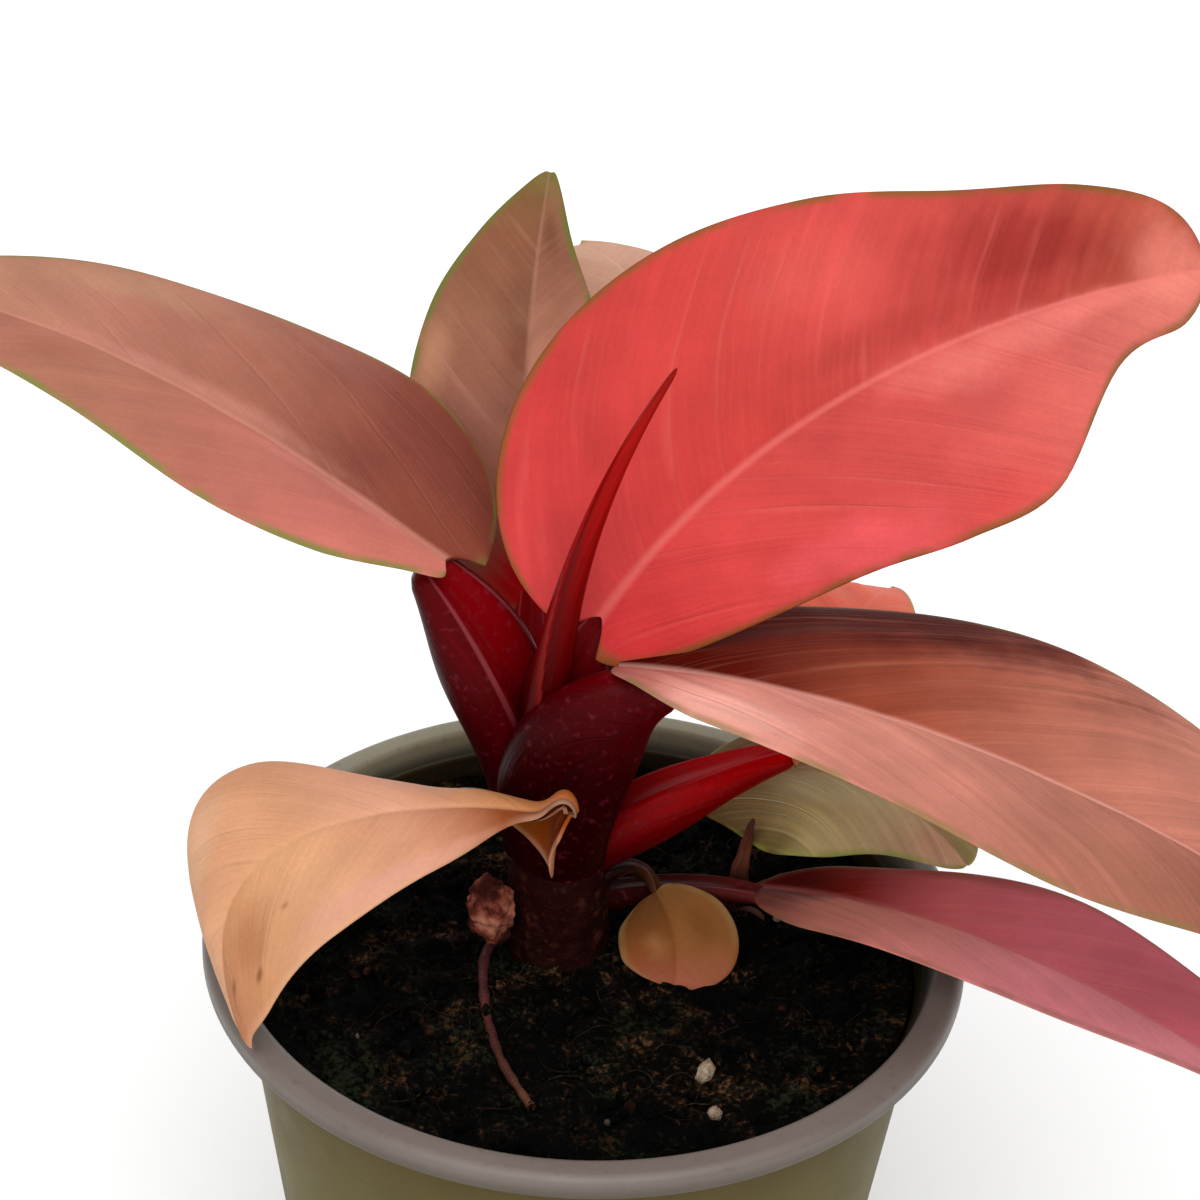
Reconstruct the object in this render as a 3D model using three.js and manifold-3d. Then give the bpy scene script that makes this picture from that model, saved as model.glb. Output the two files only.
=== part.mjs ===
// A young red philodendron in its nursery pot: ten leaves, a rolled new leaf and a short stem in soil.
// Millimetres, +Z up. The origin is the middle of the pot's foot, and the front of the plant faces -Y.

import * as THREE from 'three';
import { mergeVertices } from 'three/addons/utils/BufferGeometryUtils.js';
import Module from 'manifold-3d';

const wasm = await Module();
wasm.setup();

// Clearance between pieces that touch
const GAP = 0.3;

// Nursery pot, 10.5 cm across its rolled lip
const POT = {
  height: 88,
  lipRadius: 52.5,
  lipDrop: 3.4,
  mouthRadius: 48.1,
  wallTop: 47.6,
  footRadius: 36.8,
  wall: 1.2,
  floor: 1.4,
  lipRound: 1.5,
  mouthRound: 1,
  neckDrop: 2.5,
  footRound: 0.6,
  channelInner: 19,
  channelOuter: 32,
  channelRise: 1.8,
  drainRadius: 3.2,
  drains: 6,
  sides: 40,
};

// Potting mix, with crumbs on its top and two loose grains at x, y and size
const SOIL = {
  level: 82,
  relief: 0.7,
  sides: 32,
  rings: [1, 0.86, 0.72, 0.58, 0.44, 0.3, 0.15, 0],
  crumbs: 12,
  crumb: [1.2, 2.6],
  grains: [[16.7, -24.6, 2.2], [18, -31.9, 1.3]],
};

// Leaf blade: its thickness, the rib under the midrib and the grid it is built on
const BLADE = { thickness: 0.8, rib: 1.5, narrowest: 0.4, rows: 13 };
const COLUMNS = [-1, -0.72, -0.4, -0.1, 0, 0.1, 0.4, 0.72, 1];
const STALK = { sides: 12, rings: 7, joint: 0.03 };

// How far along the midrib the shape of the blade's base reaches, and where its waves are at full height
const BASE = { lobe: 0.4, roll: 0.3, square: 0.3, wave: 0.17 };

const STEM = {
  path: [[-3, 3, 56], [-3, 2, 84], [-5, 4, 104], [-5, 3, 126]],
  radii: [5.5, 6.9, 6.4, 5.6, 2.4],
  scar: 0.35,
  scars: 5,
  sides: 12,
  rings: 20,
};
const ROOT = {
  path: [[-6, 2, 86], [-13, -1, 83.6], [-13.2, -12, 83.2], [-10.5, -24, 83.2], [-6, -33, 82.6]],
  radius: 0.8,
  sides: 6,
  rings: 16,
};

// Stub of a fallen leaf's stalk at the stem's left: its middle, radius and height against its width
const STUB = { at: [-12.9, -1.5, 90.5], radius: 4, tall: 1.4 };

// Each leaf has a stalk and a blade, each along a cubic curve, oldest leaf first. The stalk's `path` has
// three points, and the fourth is where it meets the blade, at `joint` along it. `wide` and `deep` are its
// half sizes across and through, at equal steps, and `inner` is the side that its groove faces. `left` and
// `right` are the blade's half widths, seen along it with the upper face up, in steps that bunch up at the
// base and the tip. `up` is the way the upper face looks, from base to tip. `fold` raises both halves and
// `curl` their edges, in degrees, from base to tip, and `roll` bends the left and the right edge near the
// base. `lobes` sweeps the left and right base corners back. `straight` sets the rows square to the whole
// blade instead of the midrib. A wave is its half, height, number along the blade and phase. A hump is its
// height, place along the midrib and reach.
const LEAVES = {
  leaf_peach: {
    colour: 0xe6aa7d,
    stalk: {
      path: [[-6, 4, 99], [-13, 6, 103.5], [-20, 5, 105.5]],
      wide: [2.6, 2.2, 1.9, 1.3],
      deep: [2.4, 2.1, 1.7, 1.2],
      inner: [0, 0, 1],
      groove: [0.2, 0.3],
    },
    midrib: [[-2.5, -16.5, 116.5], [-10, -16, 120.5], [-61, -1, 109], [-43.5, -31, 91]],
    joint: 0.3,
    straight: 1,
    roll: [-15, -105],
    hump: [4, 0.04, 0.05],
    up: [[0.1, -0.2, 1], [-0.6, -0.5, 0.7]],
    left: [0.6, 0.8, 2.5, 9.5, 15.5, 15, 6.5, 0.5],
    right: [5, 11, 10, 8.5, 17, 17.5, 8, 0.5],
    fold: [4, 4],
    curl: [-10, -10],
    lobes: [0, 0],
    waves: [[1, 0.6, 1.6, 0.1], [-1, 0.6, 1.5, 0.7]],
  },
  leaf_juvenile: {
    colour: 0x9a6a42,
    stalk: {
      path: [[0, 2, 92], [4, 4, 95], [8, 6, 95]],
      wide: [1.4, 1.3, 1.2, 0.9],
      deep: [1.3, 1.2, 1.1, 0.8],
      inner: [0, 0, 1],
      groove: [0.2, 0.3],
    },
    midrib: [[9.5, 3.6, 90.6], [11.7, 1.7, 88.8], [13.5, -1, 85], [12.6, -5.6, 81.4]],
    up: [[0, -1, 0.6], [0, -1, 0.6]],
    left: [1.5, 2.8, 5, 7.6, 8.8, 8, 5, 1],
    right: [2.5, 5, 6.8, 7.6, 7.8, 7.2, 4.8, 1],
    fold: [4, 4],
    curl: [-8, -8],
    lobes: [0, 0],
    waves: [],
  },
  leaf_pink: {
    colour: 0xb06a6c,
    stalk: {
      path: [[0, 4, 88], [9, 10, 87], [18, 10, 87.5]],
      wide: [2.4, 2.2, 2, 1.3],
      deep: [2.2, 2, 1.8, 1.2],
      inner: [-0.3, 0, 1],
      groove: [0.2, 0.4],
    },
    midrib: [[24.5, 6, 90], [44, 0, 94], [66, -14, 95.5], [96, -34, 85.5]],
    up: [[0, 0.1, 1], [0.2, 0, 1]],
    left: [1.5, 4, 8, 12, 14, 12, 7, 0.5],
    right: [3, 8.5, 13.5, 15, 11.5, 7, 3.5, 0.5],
    fold: [20, 14],
    curl: [-8, -8],
    lobes: [0, 0],
    waves: [[1, 0.7, 1.8, 0.3], [-1, 0.7, 1.6, 0.7]],
  },
  leaf_green: {
    colour: 0x9b7e56,
    stalk: {
      path: [[-1, 6, 90], [5, 12, 93], [9, 17, 94.5]],
      wide: [2.6, 2.4, 2, 1.3],
      deep: [2.4, 2.2, 1.8, 1.2],
      inner: [-0.3, 0, 1],
      groove: [0.2, 0.4],
    },
    midrib: [[14, 20, 95], [26, 26, 101], [42, 22, 101], [53, 10, 92.5]],
    up: [[0, -0.3, 1], [0, -0.3, 1]],
    left: [1.5, 3.5, 7, 11, 13, 9, 5, 0.5],
    right: [1.5, 6, 12.5, 14.5, 13, 8, 4, 0.5],
    fold: [4, 4],
    curl: [-12, -12],
    lobes: [0, 0],
    waves: [[1, 0.6, 1.4, 0.3], [-1, 0.5, 1.5, 0.7]],
  },
  leaf_behind_right: {
    colour: 0xf18f7e,
    stalk: {
      path: [[-1, 3, 98], [9, 4, 105], [19, 6, 110.5]],
      wide: [4.2, 4.6, 3.2, 1.8],
      deep: [4.2, 4.6, 3.2, 1.6],
      inner: [-0.3, 0, 1],
      groove: [0.2, 0.4],
    },
    midrib: [[27, 9, 110.5], [34, 24, 118], [38, 38, 119], [43, 54, 110]],
    up: [[0, -0.2, 1], [0, 0, 1]],
    left: [1.5, 7, 13.5, 16.5, 16, 11, 5, 0.5],
    right: [1.5, 2, 5, 8.5, 9, 6, 3, 0.5],
    fold: [12, 10],
    curl: [-12, -12],
    lobes: [1, 1],
    waves: [[1, 0.7, 1.4, 0.3], [-1, 0.7, 1.5, 0.7]],
  },
  leaf_right: {
    colour: 0xb8705a,
    stalk: {
      path: [[-4, 1, 98], [-6, -4, 114], [-1.5, -3.5, 127.5]],
      wide: [6.6, 8.6, 7.8, 2.6],
      deep: [4.6, 5.6, 5, 2.2],
      inner: [0.2, 0.8, 0.6],
      groove: [0.2, 0.3],
    },
    joint: 0.1,
    midrib: [[3, -3, 131.8], [28, -11, 137], [66, -22, 132], [106, -40, 110]],
    up: [[0, 0.1, 1], [0.2, 0, 1]],
    left: [2, 7, 17, 26, 28.5, 26.5, 16, 0.5],
    right: [2, 7, 16.5, 23, 22, 11, 4, 0.5],
    fold: [28, 4],
    curl: [-12, -12],
    lobes: [0, 0],
    waves: [[1, 1.2, 1.8, 0.2], [-1, 1, 1.5, 0.6]],
  },
  leaf_left: {
    colour: 0xb57566,
    stalk: {
      path: [[-6, 4, 98], [-8.4, 5, 113], [-14, 5, 130]],
      wide: [6, 6.6, 7.4, 3],
      deep: [5, 5.6, 5.8, 2.2],
      inner: [0.8, -0.5, 0.4],
      groove: [0.3, 0.7],
    },
    midrib: [[-20, 4, 143], [-42, 9, 157], [-68, 16, 172], [-99, 20, 172]],
    up: [[0, 0, 1], [0, -0.1, 1]],
    left: [3, 7, 14, 17, 14, 9, 4, 0.5],
    right: [4, 20, 28, 26.5, 19.5, 12, 6, 0.5],
    fold: [14, 10],
    curl: [-12, -12],
    lobes: [1, 5],
    waves: [[-1, 0.9, 1.6, 0.1], [1, 0.8, 1.3, 0.4]],
  },
  leaf_rear: {
    colour: 0xcc9e83,
    stalk: {
      path: [[-3, 7, 100], [0, 13, 108], [2, 19, 117]],
      wide: [3.6, 3.2, 2.8, 1.8],
      deep: [3.2, 2.8, 2.4, 1.6],
      inner: [0, -1, 0],
      groove: [0.2, 0.4],
    },
    midrib: [[2, 25.5, 125.8], [7, 39, 148.3], [9, 59, 159], [-5, 79, 152]],
    up: [[0, -0.5, 1], [0, 0.3, 1]],
    left: [3, 12, 17, 19, 17, 12, 6, 0.5],
    right: [3, 11, 15, 17, 15, 11, 5, 0.5],
    fold: [12, 10],
    curl: [-12, -12],
    lobes: [4, 4],
    waves: [[1, 1, 1.4, 0.3], [-1, 1, 1.5, 0.7]],
  },
  leaf_back: {
    colour: 0x9f7059,
    stalk: {
      path: [[-6, 6, 104], [-8, 12, 112], [-9, 18, 120]],
      wide: [4, 3.6, 3, 1.8],
      deep: [3.4, 3, 2.6, 1.6],
      inner: [0, -1, 0],
      groove: [0.2, 0.4],
    },
    midrib: [[-9, 23, 127.8], [-12, 33, 147.8], [-11, 47, 161.8], [-9, 57, 174]],
    up: [[0, -1, 0.3], [-0.2, -1, 0.3]],
    left: [3, 10, 14.5, 16.5, 14, 8.5, 3.5, 0.5],
    right: [3, 10, 13, 12, 9, 4.5, 2, 0.5],
    fold: [16, 10],
    curl: [-8, -8],
    lobes: [4, 4],
    waves: [[1, 0.8, 1.5, 0.2], [-1, 0.7, 1.6, 0.5]],
  },
  leaf_red: {
    colour: 0xd84440,
    stalk: {
      path: [[-5, 4, 114], [-4, 3.5, 122], [-2.5, 3, 130]],
      wide: [5, 6.2, 5.4, 2],
      deep: [4.6, 5, 4.4, 1.8],
      inner: [0, -1, 0.2],
      groove: [0.2, 0.3],
    },
    midrib: [[0.5, 1, 137], [14, 8, 158], [40, 14, 176], [72, 2, 190]],
    up: [[-0.1, -0.85, 0.45], [-0.2, -0.8, 0.5]],
    left: [3, 14, 23, 28.5, 29, 24.5, 17.5, 13.5, 8.5, 0.5],
    right: [2.5, 8, 13.5, 18, 21, 23.5, 22, 9, 6, 0.5],
    fold: [10, 6],
    curl: [-8, -8],
    lobes: [4, 5],
    waves: [[1, 1.2, 1.6, 0.1], [-1, 1, 1.4, 0.5]],
  },
};

// The next leaf, rolled up, and the dry sheath at the foot of the lowest leaf
const SPIKES = {
  new_leaf: {
    colour: 0x88100c,
    path: [[-6, -1, 124], [-4.5, -5, 148], [1.5, -6.5, 165], [8.5, -8, 179]],
    wide: [3.8, 2.1, 1.1, 0.4],
    deep: [3, 1.9, 1.1, 0.4],
    inner: [0.6, -0.6, 0.3],
    groove: [0.1, 0.1],
  },
  dry_sheath: {
    colour: 0x5a3420,
    path: [[20.5, 12, 78], [21, 12, 86], [22, 11.5, 92], [22.7, 11, 98.5]],
    wide: [1.7, 1.5, 0.9, 0.4],
    deep: [0.8, 0.7, 0.6, 0.4],
    inner: [0, -1, 0],
    groove: [0.2, 0.2],
  },
};

const vector = (p) => new THREE.Vector3(...p);
const mix = THREE.MathUtils.lerp;

// Smooth value through equally spaced ones, at u from 0 to 1
function through(values, u) {
  const last = values.length - 1;
  const x = THREE.MathUtils.clamp(u, 0, 1) * last;
  const i = Math.min(Math.floor(x), last - 1);
  const f = x - i;
  const a = values[i];
  const b = values[i + 1];
  const before = i > 0 ? values[i - 1] : 2 * a - b;
  const after = i + 2 <= last ? values[i + 2] : 2 * b - a;
  const leave = (b - before) / 2;
  const arrive = (after - a) / 2;
  const curve = (2 * f ** 3 - 3 * f ** 2 + 1) * a + (3 * f ** 2 - 2 * f ** 3) * b;
  return curve + (f ** 3 - 2 * f ** 2 + f) * leave + (f ** 3 - f ** 2) * arrive;
}

// The part of a direction that is square to the given axis, at unit length
function squared(direction, axis) {
  return direction.clone().addScaledVector(axis, -direction.dot(axis)).normalize();
}

function cubic(points) {
  return new THREE.CubicBezierCurve3(...points.map(vector));
}

function facing(leaf, t) {
  return vector(leaf.up[0]).lerp(vector(leaf.up[1]), t);
}

function chord(leaf) {
  return vector(leaf.midrib[3]).sub(vector(leaf.midrib[0])).normalize();
}

// Point of a blade: u runs from base to tip, and s from -1 at the right edge to 1 at the left edge
function bladePoint(leaf, curve, u, s, grow) {
  const t = (1 - Math.cos(Math.PI * u)) / 2;
  const square = (leaf.straight ?? 0) * Math.min(1, t / BASE.square);
  const along = curve.getTangent(t).lerp(chord(leaf), square).normalize();
  const up = squared(facing(leaf, t), along);
  const side = new THREE.Vector3().crossVectors(up, along).multiplyScalar(s < 0 ? -1 : 1);
  const reach = Math.abs(s);
  const width = Math.max(through(s < 0 ? leaf.right : leaf.left, u), BLADE.narrowest) + grow;
  const roll = (leaf.roll ?? [0, 0])[s < 0 ? 1 : 0] * Math.exp(-((t / BASE.roll) ** 2));
  const angle = THREE.MathUtils.degToRad(mix(...leaf.fold, t) + (mix(...leaf.curl, t) + roll) * reach);
  const swept = leaf.lobes[s < 0 ? 1 : 0] * reach ** 1.6 * Math.max(0, 1 - t / BASE.lobe) ** 2;
  const [hump, place, spread] = leaf.hump ?? [0, 0, 1];
  let wave = hump * Math.exp(-(((t - place) / spread) ** 2));
  for (const [half, height, count, phase] of leaf.waves) {
    const share = half === Math.sign(s) ? Math.min(1, t / BASE.wave) : 0;
    wave += share * height * reach ** 2 * Math.sin(2 * Math.PI * (count * t + phase));
  }
  const end = u === 0 ? -grow : u === 1 ? grow : 0;
  return curve
    .getPoint(t)
    .addScaledVector(side, width * reach * Math.cos(angle))
    .addScaledVector(up, width * reach * Math.sin(angle) + wave)
    .addScaledVector(along, end - swept);
}

function bladeNormal(leaf, curve, u, s) {
  const step = 0.02;
  const at = (du, ds) => bladePoint(leaf, curve, THREE.MathUtils.clamp(u + du, 0.01, 0.99), s + ds, 0);
  const forward = at(step, 0).sub(at(-step, 0));
  const leftward = at(0, step).sub(at(0, -step));
  return forward.cross(leftward).normalize();
}

// Closed mesh from two grids of points, upper and lower, of the same rows and columns
function sheetGeometry(upper, lower) {
  const rows = upper.length;
  const columns = upper[0].length;
  const positions = [...upper.flat(), ...lower.flat()].flatMap((p) => p.toArray());
  const top = (i, j) => i * columns + j;
  const bottom = (i, j) => rows * columns + top(i, j);
  const index = [];
  const quad = (a, b, c, d) => index.push(a, b, c, a, c, d);
  for (let i = 0; i < rows - 1; i++) {
    for (let j = 0; j < columns - 1; j++) {
      quad(top(i, j), top(i + 1, j), top(i + 1, j + 1), top(i, j + 1));
      index.push(bottom(i, j), bottom(i + 1, j + 1), bottom(i + 1, j));
      index.push(bottom(i, j), bottom(i, j + 1), bottom(i + 1, j + 1));
    }
    quad(top(i, 0), bottom(i, 0), bottom(i + 1, 0), top(i + 1, 0));
    quad(top(i, columns - 1), top(i + 1, columns - 1), bottom(i + 1, columns - 1), bottom(i, columns - 1));
  }
  for (let j = 0; j < columns - 1; j++) {
    quad(top(0, j), top(0, j + 1), bottom(0, j + 1), bottom(0, j));
    quad(top(rows - 1, j), bottom(rows - 1, j), bottom(rows - 1, j + 1), top(rows - 1, j + 1));
  }
  return geometryOf(positions, index);
}

function geometryOf(positions, index) {
  const geometry = new THREE.BufferGeometry();
  geometry.setAttribute('position', new THREE.Float32BufferAttribute(positions, 3));
  geometry.setIndex(index);
  return geometry;
}

function bladeGeometry(leaf, grow) {
  const curve = cubic(leaf.midrib);
  const upper = [];
  const lower = [];
  for (let i = 0; i <= BLADE.rows; i++) {
    const u = i / BLADE.rows;
    const half = BLADE.thickness / 2 + grow;
    const points = COLUMNS.map((s) => bladePoint(leaf, curve, u, s, grow));
    const normals = COLUMNS.map((s) => bladeNormal(leaf, curve, u, s));
    const rib = COLUMNS.map((s) => (s === 0 ? BLADE.rib * (1 - u) : 0));
    upper.push(points.map((p, j) => p.clone().addScaledVector(normals[j], half)));
    lower.push(points.map((p, j) => p.clone().addScaledVector(normals[j], -half - rib[j])));
  }
  return sheetGeometry(upper, lower);
}

// Closed tube along a curve: `section(v, angle)` gives the reach across and through at v from 0 to 1
function tubeGeometry(curve, inner, sides, rings, section) {
  const positions = [];
  const index = [];
  for (let i = 0; i <= rings; i++) {
    const v = i / rings;
    const centre = curve.getPoint(v);
    const along = curve.getTangent(v);
    const deep = squared(inner, along);
    const across = new THREE.Vector3().crossVectors(deep, along);
    for (let j = 0; j < sides; j++) {
      const angle = (j / sides) * 2 * Math.PI;
      const [x, y] = section(v, angle);
      positions.push(...centre.clone().addScaledVector(deep, y).addScaledVector(across, x).toArray());
    }
  }
  for (let i = 0; i < rings; i++) {
    for (let j = 0; j < sides; j++) {
      const k = (j + 1) % sides;
      const [a, b, c, d] = [i * sides + j, i * sides + k, (i + 1) * sides + k, (i + 1) * sides + j];
      index.push(a, c, b, a, d, c);
    }
  }
  const first = positions.length / 3;
  positions.push(...curve.getPoint(0).toArray(), ...curve.getPoint(1).toArray());
  for (let j = 0; j < sides; j++) {
    const k = (j + 1) % sides;
    index.push(first, j, k, first + 1, rings * sides + k, rings * sides + j);
  }
  return geometryOf(positions, index);
}

// The stalk's curve, which ends just under the blade
function stalkCurve(leaf) {
  const midrib = cubic(leaf.midrib);
  const t = leaf.joint ?? STALK.joint;
  const up = squared(facing(leaf, t), midrib.getTangent(t));
  const end = midrib.getPoint(t).addScaledVector(up, -1.1 * leaf.stalk.deep.at(-1));
  return new THREE.CubicBezierCurve3(...leaf.stalk.path.map(vector), end);
}

// Oval stalk with a groove down its inner side
function stalkGeometry(stalk, curve, grow) {
  const section = (v, angle) => {
    const turn = Math.min(angle, 2 * Math.PI - angle);
    const dent = 1 - mix(...stalk.groove, v) * Math.exp(-((turn / 0.5) ** 2));
    const wide = through(stalk.wide, v) + grow;
    const deep = through(stalk.deep, v) * dent + grow;
    return [wide * Math.sin(angle), deep * Math.cos(angle)];
  };
  return tubeGeometry(curve, vector(stalk.inner), STALK.sides, STALK.rings, section);
}

function stemGeometry(grow) {
  const section = (v, angle) => {
    const scar = STEM.scar * Math.abs(Math.sin(Math.PI * STEM.scars * v));
    const radius = through(STEM.radii, v) + scar + grow;
    return [radius * Math.sin(angle), radius * Math.cos(angle)];
  };
  return tubeGeometry(cubic(STEM.path), new THREE.Vector3(0, -1, 0), STEM.sides, STEM.rings, section);
}

function rootGeometry(grow) {
  const curve = new THREE.CatmullRomCurve3(ROOT.path.map(vector));
  const section = (v, angle) => {
    const radius = ROOT.radius * (1 - 0.3 * v) + grow;
    return [radius * Math.sin(angle), radius * Math.cos(angle)];
  };
  return tubeGeometry(curve, new THREE.Vector3(0, 0, 1), ROOT.sides, ROOT.rings, section);
}

// Solids and back
function solid(geometry) {
  geometry.deleteAttribute('normal');
  geometry.deleteAttribute('uv');
  const merged = mergeVertices(geometry, 1e-4);
  const triVerts = new Uint32Array(merged.index.array);
  const vertProperties = new Float32Array(merged.attributes.position.array);
  return new wasm.Manifold(new wasm.Mesh({ numProp: 3, vertProperties, triVerts }));
}

function largest(shape) {
  const parts = shape.decompose();
  return parts.reduce((best, part) => (part.volume() > best.volume() ? part : best));
}

function meshOf(name, shape, colour, roughness) {
  const { vertProperties, triVerts } = shape.getMesh();
  const geometry = geometryOf(vertProperties, Array.from(triVerts));
  geometry.computeVertexNormals();
  const material = new THREE.MeshStandardMaterial({ color: colour, roughness, metalness: 0 });
  const mesh = new THREE.Mesh(geometry, material);
  mesh.name = name;
  return mesh;
}

function leafSolid(leaf, grow) {
  return solid(bladeGeometry(leaf, grow)).add(solid(stalkGeometry(leaf.stalk, stalkCurve(leaf), grow)));
}

function stubGeometry(grow) {
  const lump = new THREE.IcosahedronGeometry(STUB.radius + grow, 1);
  return lump.scale(1, 1, STUB.tall).translate(...STUB.at);
}

function stemSolid(grow) {
  return solid(stemGeometry(grow)).add(solid(rootGeometry(grow))).add(solid(stubGeometry(grow)));
}

// Radius of the pot's inner wall at a height
function insideRadius(z) {
  const slope = (POT.wallTop - POT.footRadius) / (POT.height - POT.lipDrop);
  return POT.footRadius - POT.wall + slope * z;
}

// Pot: one closed profile turned round the axis, with drainage holes through the raised channel
function potSolid() {
  const { height, lipRadius, mouthRadius, wallTop, footRadius, lipRound, mouthRound, footRound } = POT;
  const { channelInner, channelOuter, channelRise, drainRadius, drains } = POT;
  const under = height - POT.lipDrop;
  const neck = under - POT.neckDrop;
  const inside = POT.floor + channelRise;
  const profile = [
    [0, 0],
    [channelInner, 0],
    [channelInner + channelRise, channelRise],
    [channelOuter - channelRise, channelRise],
    [channelOuter, 0],
    [footRadius - footRound, 0],
    [footRadius, footRound],
    [wallTop, under],
    [lipRadius - mouthRound, under],
    [lipRadius, under + mouthRound],
    [lipRadius, height - lipRound],
    [lipRadius - lipRound / 3, height - lipRound / 3],
    [lipRadius - lipRound, height],
    [mouthRadius + mouthRound, height],
    [mouthRadius + mouthRound / 3, height - mouthRound / 3],
    [mouthRadius, height - mouthRound],
    [insideRadius(neck), neck],
    [insideRadius(inside), inside + footRound],
    [insideRadius(inside) - footRound, inside],
    [0, inside],
  ];
  const points = profile.map(([r, z]) => new THREE.Vector2(r, z));
  let shape = solid(new THREE.LatheGeometry(points, POT.sides).rotateX(Math.PI / 2));
  const ring = (channelInner + channelOuter) / 2;
  for (let i = 0; i < drains; i++) {
    const angle = ((i + 0.5) / drains) * 2 * Math.PI;
    const drill = new THREE.CylinderGeometry(drainRadius, drainRadius, 4 * inside, 10);
    drill.rotateX(Math.PI / 2).translate(ring * Math.cos(angle), ring * Math.sin(angle), 0);
    shape = shape.subtract(solid(drill));
  }
  return shape;
}

// Small repeatable random numbers
function randomFrom(seed) {
  let state = seed;
  return () => {
    state = (state * 16807) % 2147483647;
    return state / 2147483647;
  };
}

function soilTop(x, y) {
  const coarse = Math.sin(0.21 * x + 1.3) * Math.cos(0.17 * y - 0.6);
  const fine = Math.sin(0.47 * x - 0.33 * y) * Math.cos(0.39 * y + 0.24 * x);
  return SOIL.relief * (coarse + 0.7 * fine);
}

function crumb(x, y, size, random) {
  const stone = new THREE.IcosahedronGeometry(size, 0);
  stone.scale(1, 0.6 + 0.4 * random(), 0.6 + 0.3 * random());
  stone.rotateX(random() * 3).rotateZ(random() * 6);
  stone.translate(x, y, SOIL.level + soilTop(x, y));
  return solid(stone);
}

// Soil: fills the pot, with an uneven top, crumbs and a plain hole for whatever stands in it
function soilSolid(standing) {
  const bottom = POT.floor + POT.channelRise + GAP;
  const clear = (z) => (insideRadius(z) - GAP) * Math.cos(Math.PI / POT.sides);
  const rim = clear(SOIL.level);
  const foot = clear(bottom);
  const profile = [[0, bottom], [foot - POT.footRound, bottom], [foot, bottom + POT.footRound]];
  for (const share of SOIL.rings) {
    profile.push([rim * share, SOIL.level]);
  }
  const points = profile.map(([r, z]) => new THREE.Vector2(r, z));
  const geometry = new THREE.LatheGeometry(points, SOIL.sides).rotateX(Math.PI / 2);
  const place = geometry.attributes.position;
  for (let i = 0; i < place.count; i++) {
    const rise = place.getZ(i) === SOIL.level ? soilTop(place.getX(i), place.getY(i)) : 0;
    place.setZ(i, place.getZ(i) + rise);
  }
  let shape = solid(geometry);
  const random = randomFrom(7);
  for (let i = 0; i < SOIL.crumbs; i++) {
    const angle = random() * 2 * Math.PI;
    const reach = (rim - 2 * SOIL.crumb[1]) * Math.sqrt(random());
    const size = mix(...SOIL.crumb, random());
    shape = shape.add(crumb(reach * Math.cos(angle), reach * Math.sin(angle), size, random));
  }
  for (const [x, y, size] of SOIL.grains) {
    shape = shape.add(crumb(x, y, size, random));
  }
  for (const piece of standing) {
    shape = shape.subtract(piece);
  }
  return largest(shape);
}

// Pieces in the order they grew in: each one is cut back from those before it
const plant = new THREE.Group();
const grown = [];

function keep(name, make, colour, roughness) {
  let shape = make(0);
  for (const other of grown) {
    shape = shape.subtract(other);
  }
  plant.add(meshOf(name, largest(shape), colour, roughness));
  grown.push(make(GAP));
}

keep('stem', stemSolid, 0x40181a, 0.7);
for (const [name, leaf] of Object.entries(LEAVES)) {
  keep(name, (grow) => leafSolid(leaf, grow), leaf.colour, 0.45);
}
for (const [name, spike] of Object.entries(SPIKES)) {
  keep(name, (grow) => solid(stalkGeometry(spike, cubic(spike.path), grow)), spike.colour, 0.5);
}
plant.add(meshOf('soil', soilSolid(grown), 0x1b120d, 0.95));
plant.add(meshOf('pot', potSolid(), 0x6d665a, 0.5));

export default plant;
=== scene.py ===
"""A young red philodendron in its nursery pot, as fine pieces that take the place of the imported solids.

Lengths in the tables are millimetres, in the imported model's frame: +Z is up and the front faces -Y.
"""

import math

import bmesh
import bpy
import numpy as np
from mathutils import Matrix, Vector, noise


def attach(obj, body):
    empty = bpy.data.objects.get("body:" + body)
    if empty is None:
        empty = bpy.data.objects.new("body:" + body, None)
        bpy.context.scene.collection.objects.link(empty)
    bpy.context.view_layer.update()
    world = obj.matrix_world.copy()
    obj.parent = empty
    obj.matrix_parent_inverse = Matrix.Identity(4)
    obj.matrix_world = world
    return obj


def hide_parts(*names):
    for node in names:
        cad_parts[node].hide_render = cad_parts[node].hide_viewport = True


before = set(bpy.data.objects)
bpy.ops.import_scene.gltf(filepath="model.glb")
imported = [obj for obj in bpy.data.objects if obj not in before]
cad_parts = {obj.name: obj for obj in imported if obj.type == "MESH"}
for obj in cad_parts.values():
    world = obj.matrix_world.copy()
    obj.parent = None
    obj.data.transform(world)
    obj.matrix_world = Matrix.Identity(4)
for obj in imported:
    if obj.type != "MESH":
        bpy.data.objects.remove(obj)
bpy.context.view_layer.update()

MM = 0.001

# Camera, worked out from the pot's rim in the photo. Angles in degrees, focal length in pixels of the frame.
CAMERA = {
    "distance": 420,
    "pitch": 32.3,
    "roll": 2.3,
    "target": (0.3, 0, 140.3),
    "focal": 3247,
    "frame": 1200,
}

# What a white card lying flat sends back. Colours are written as they look and divided by it.
DAYLIGHT = 1.2
FLOOR_REACH = 3000.0

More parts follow.
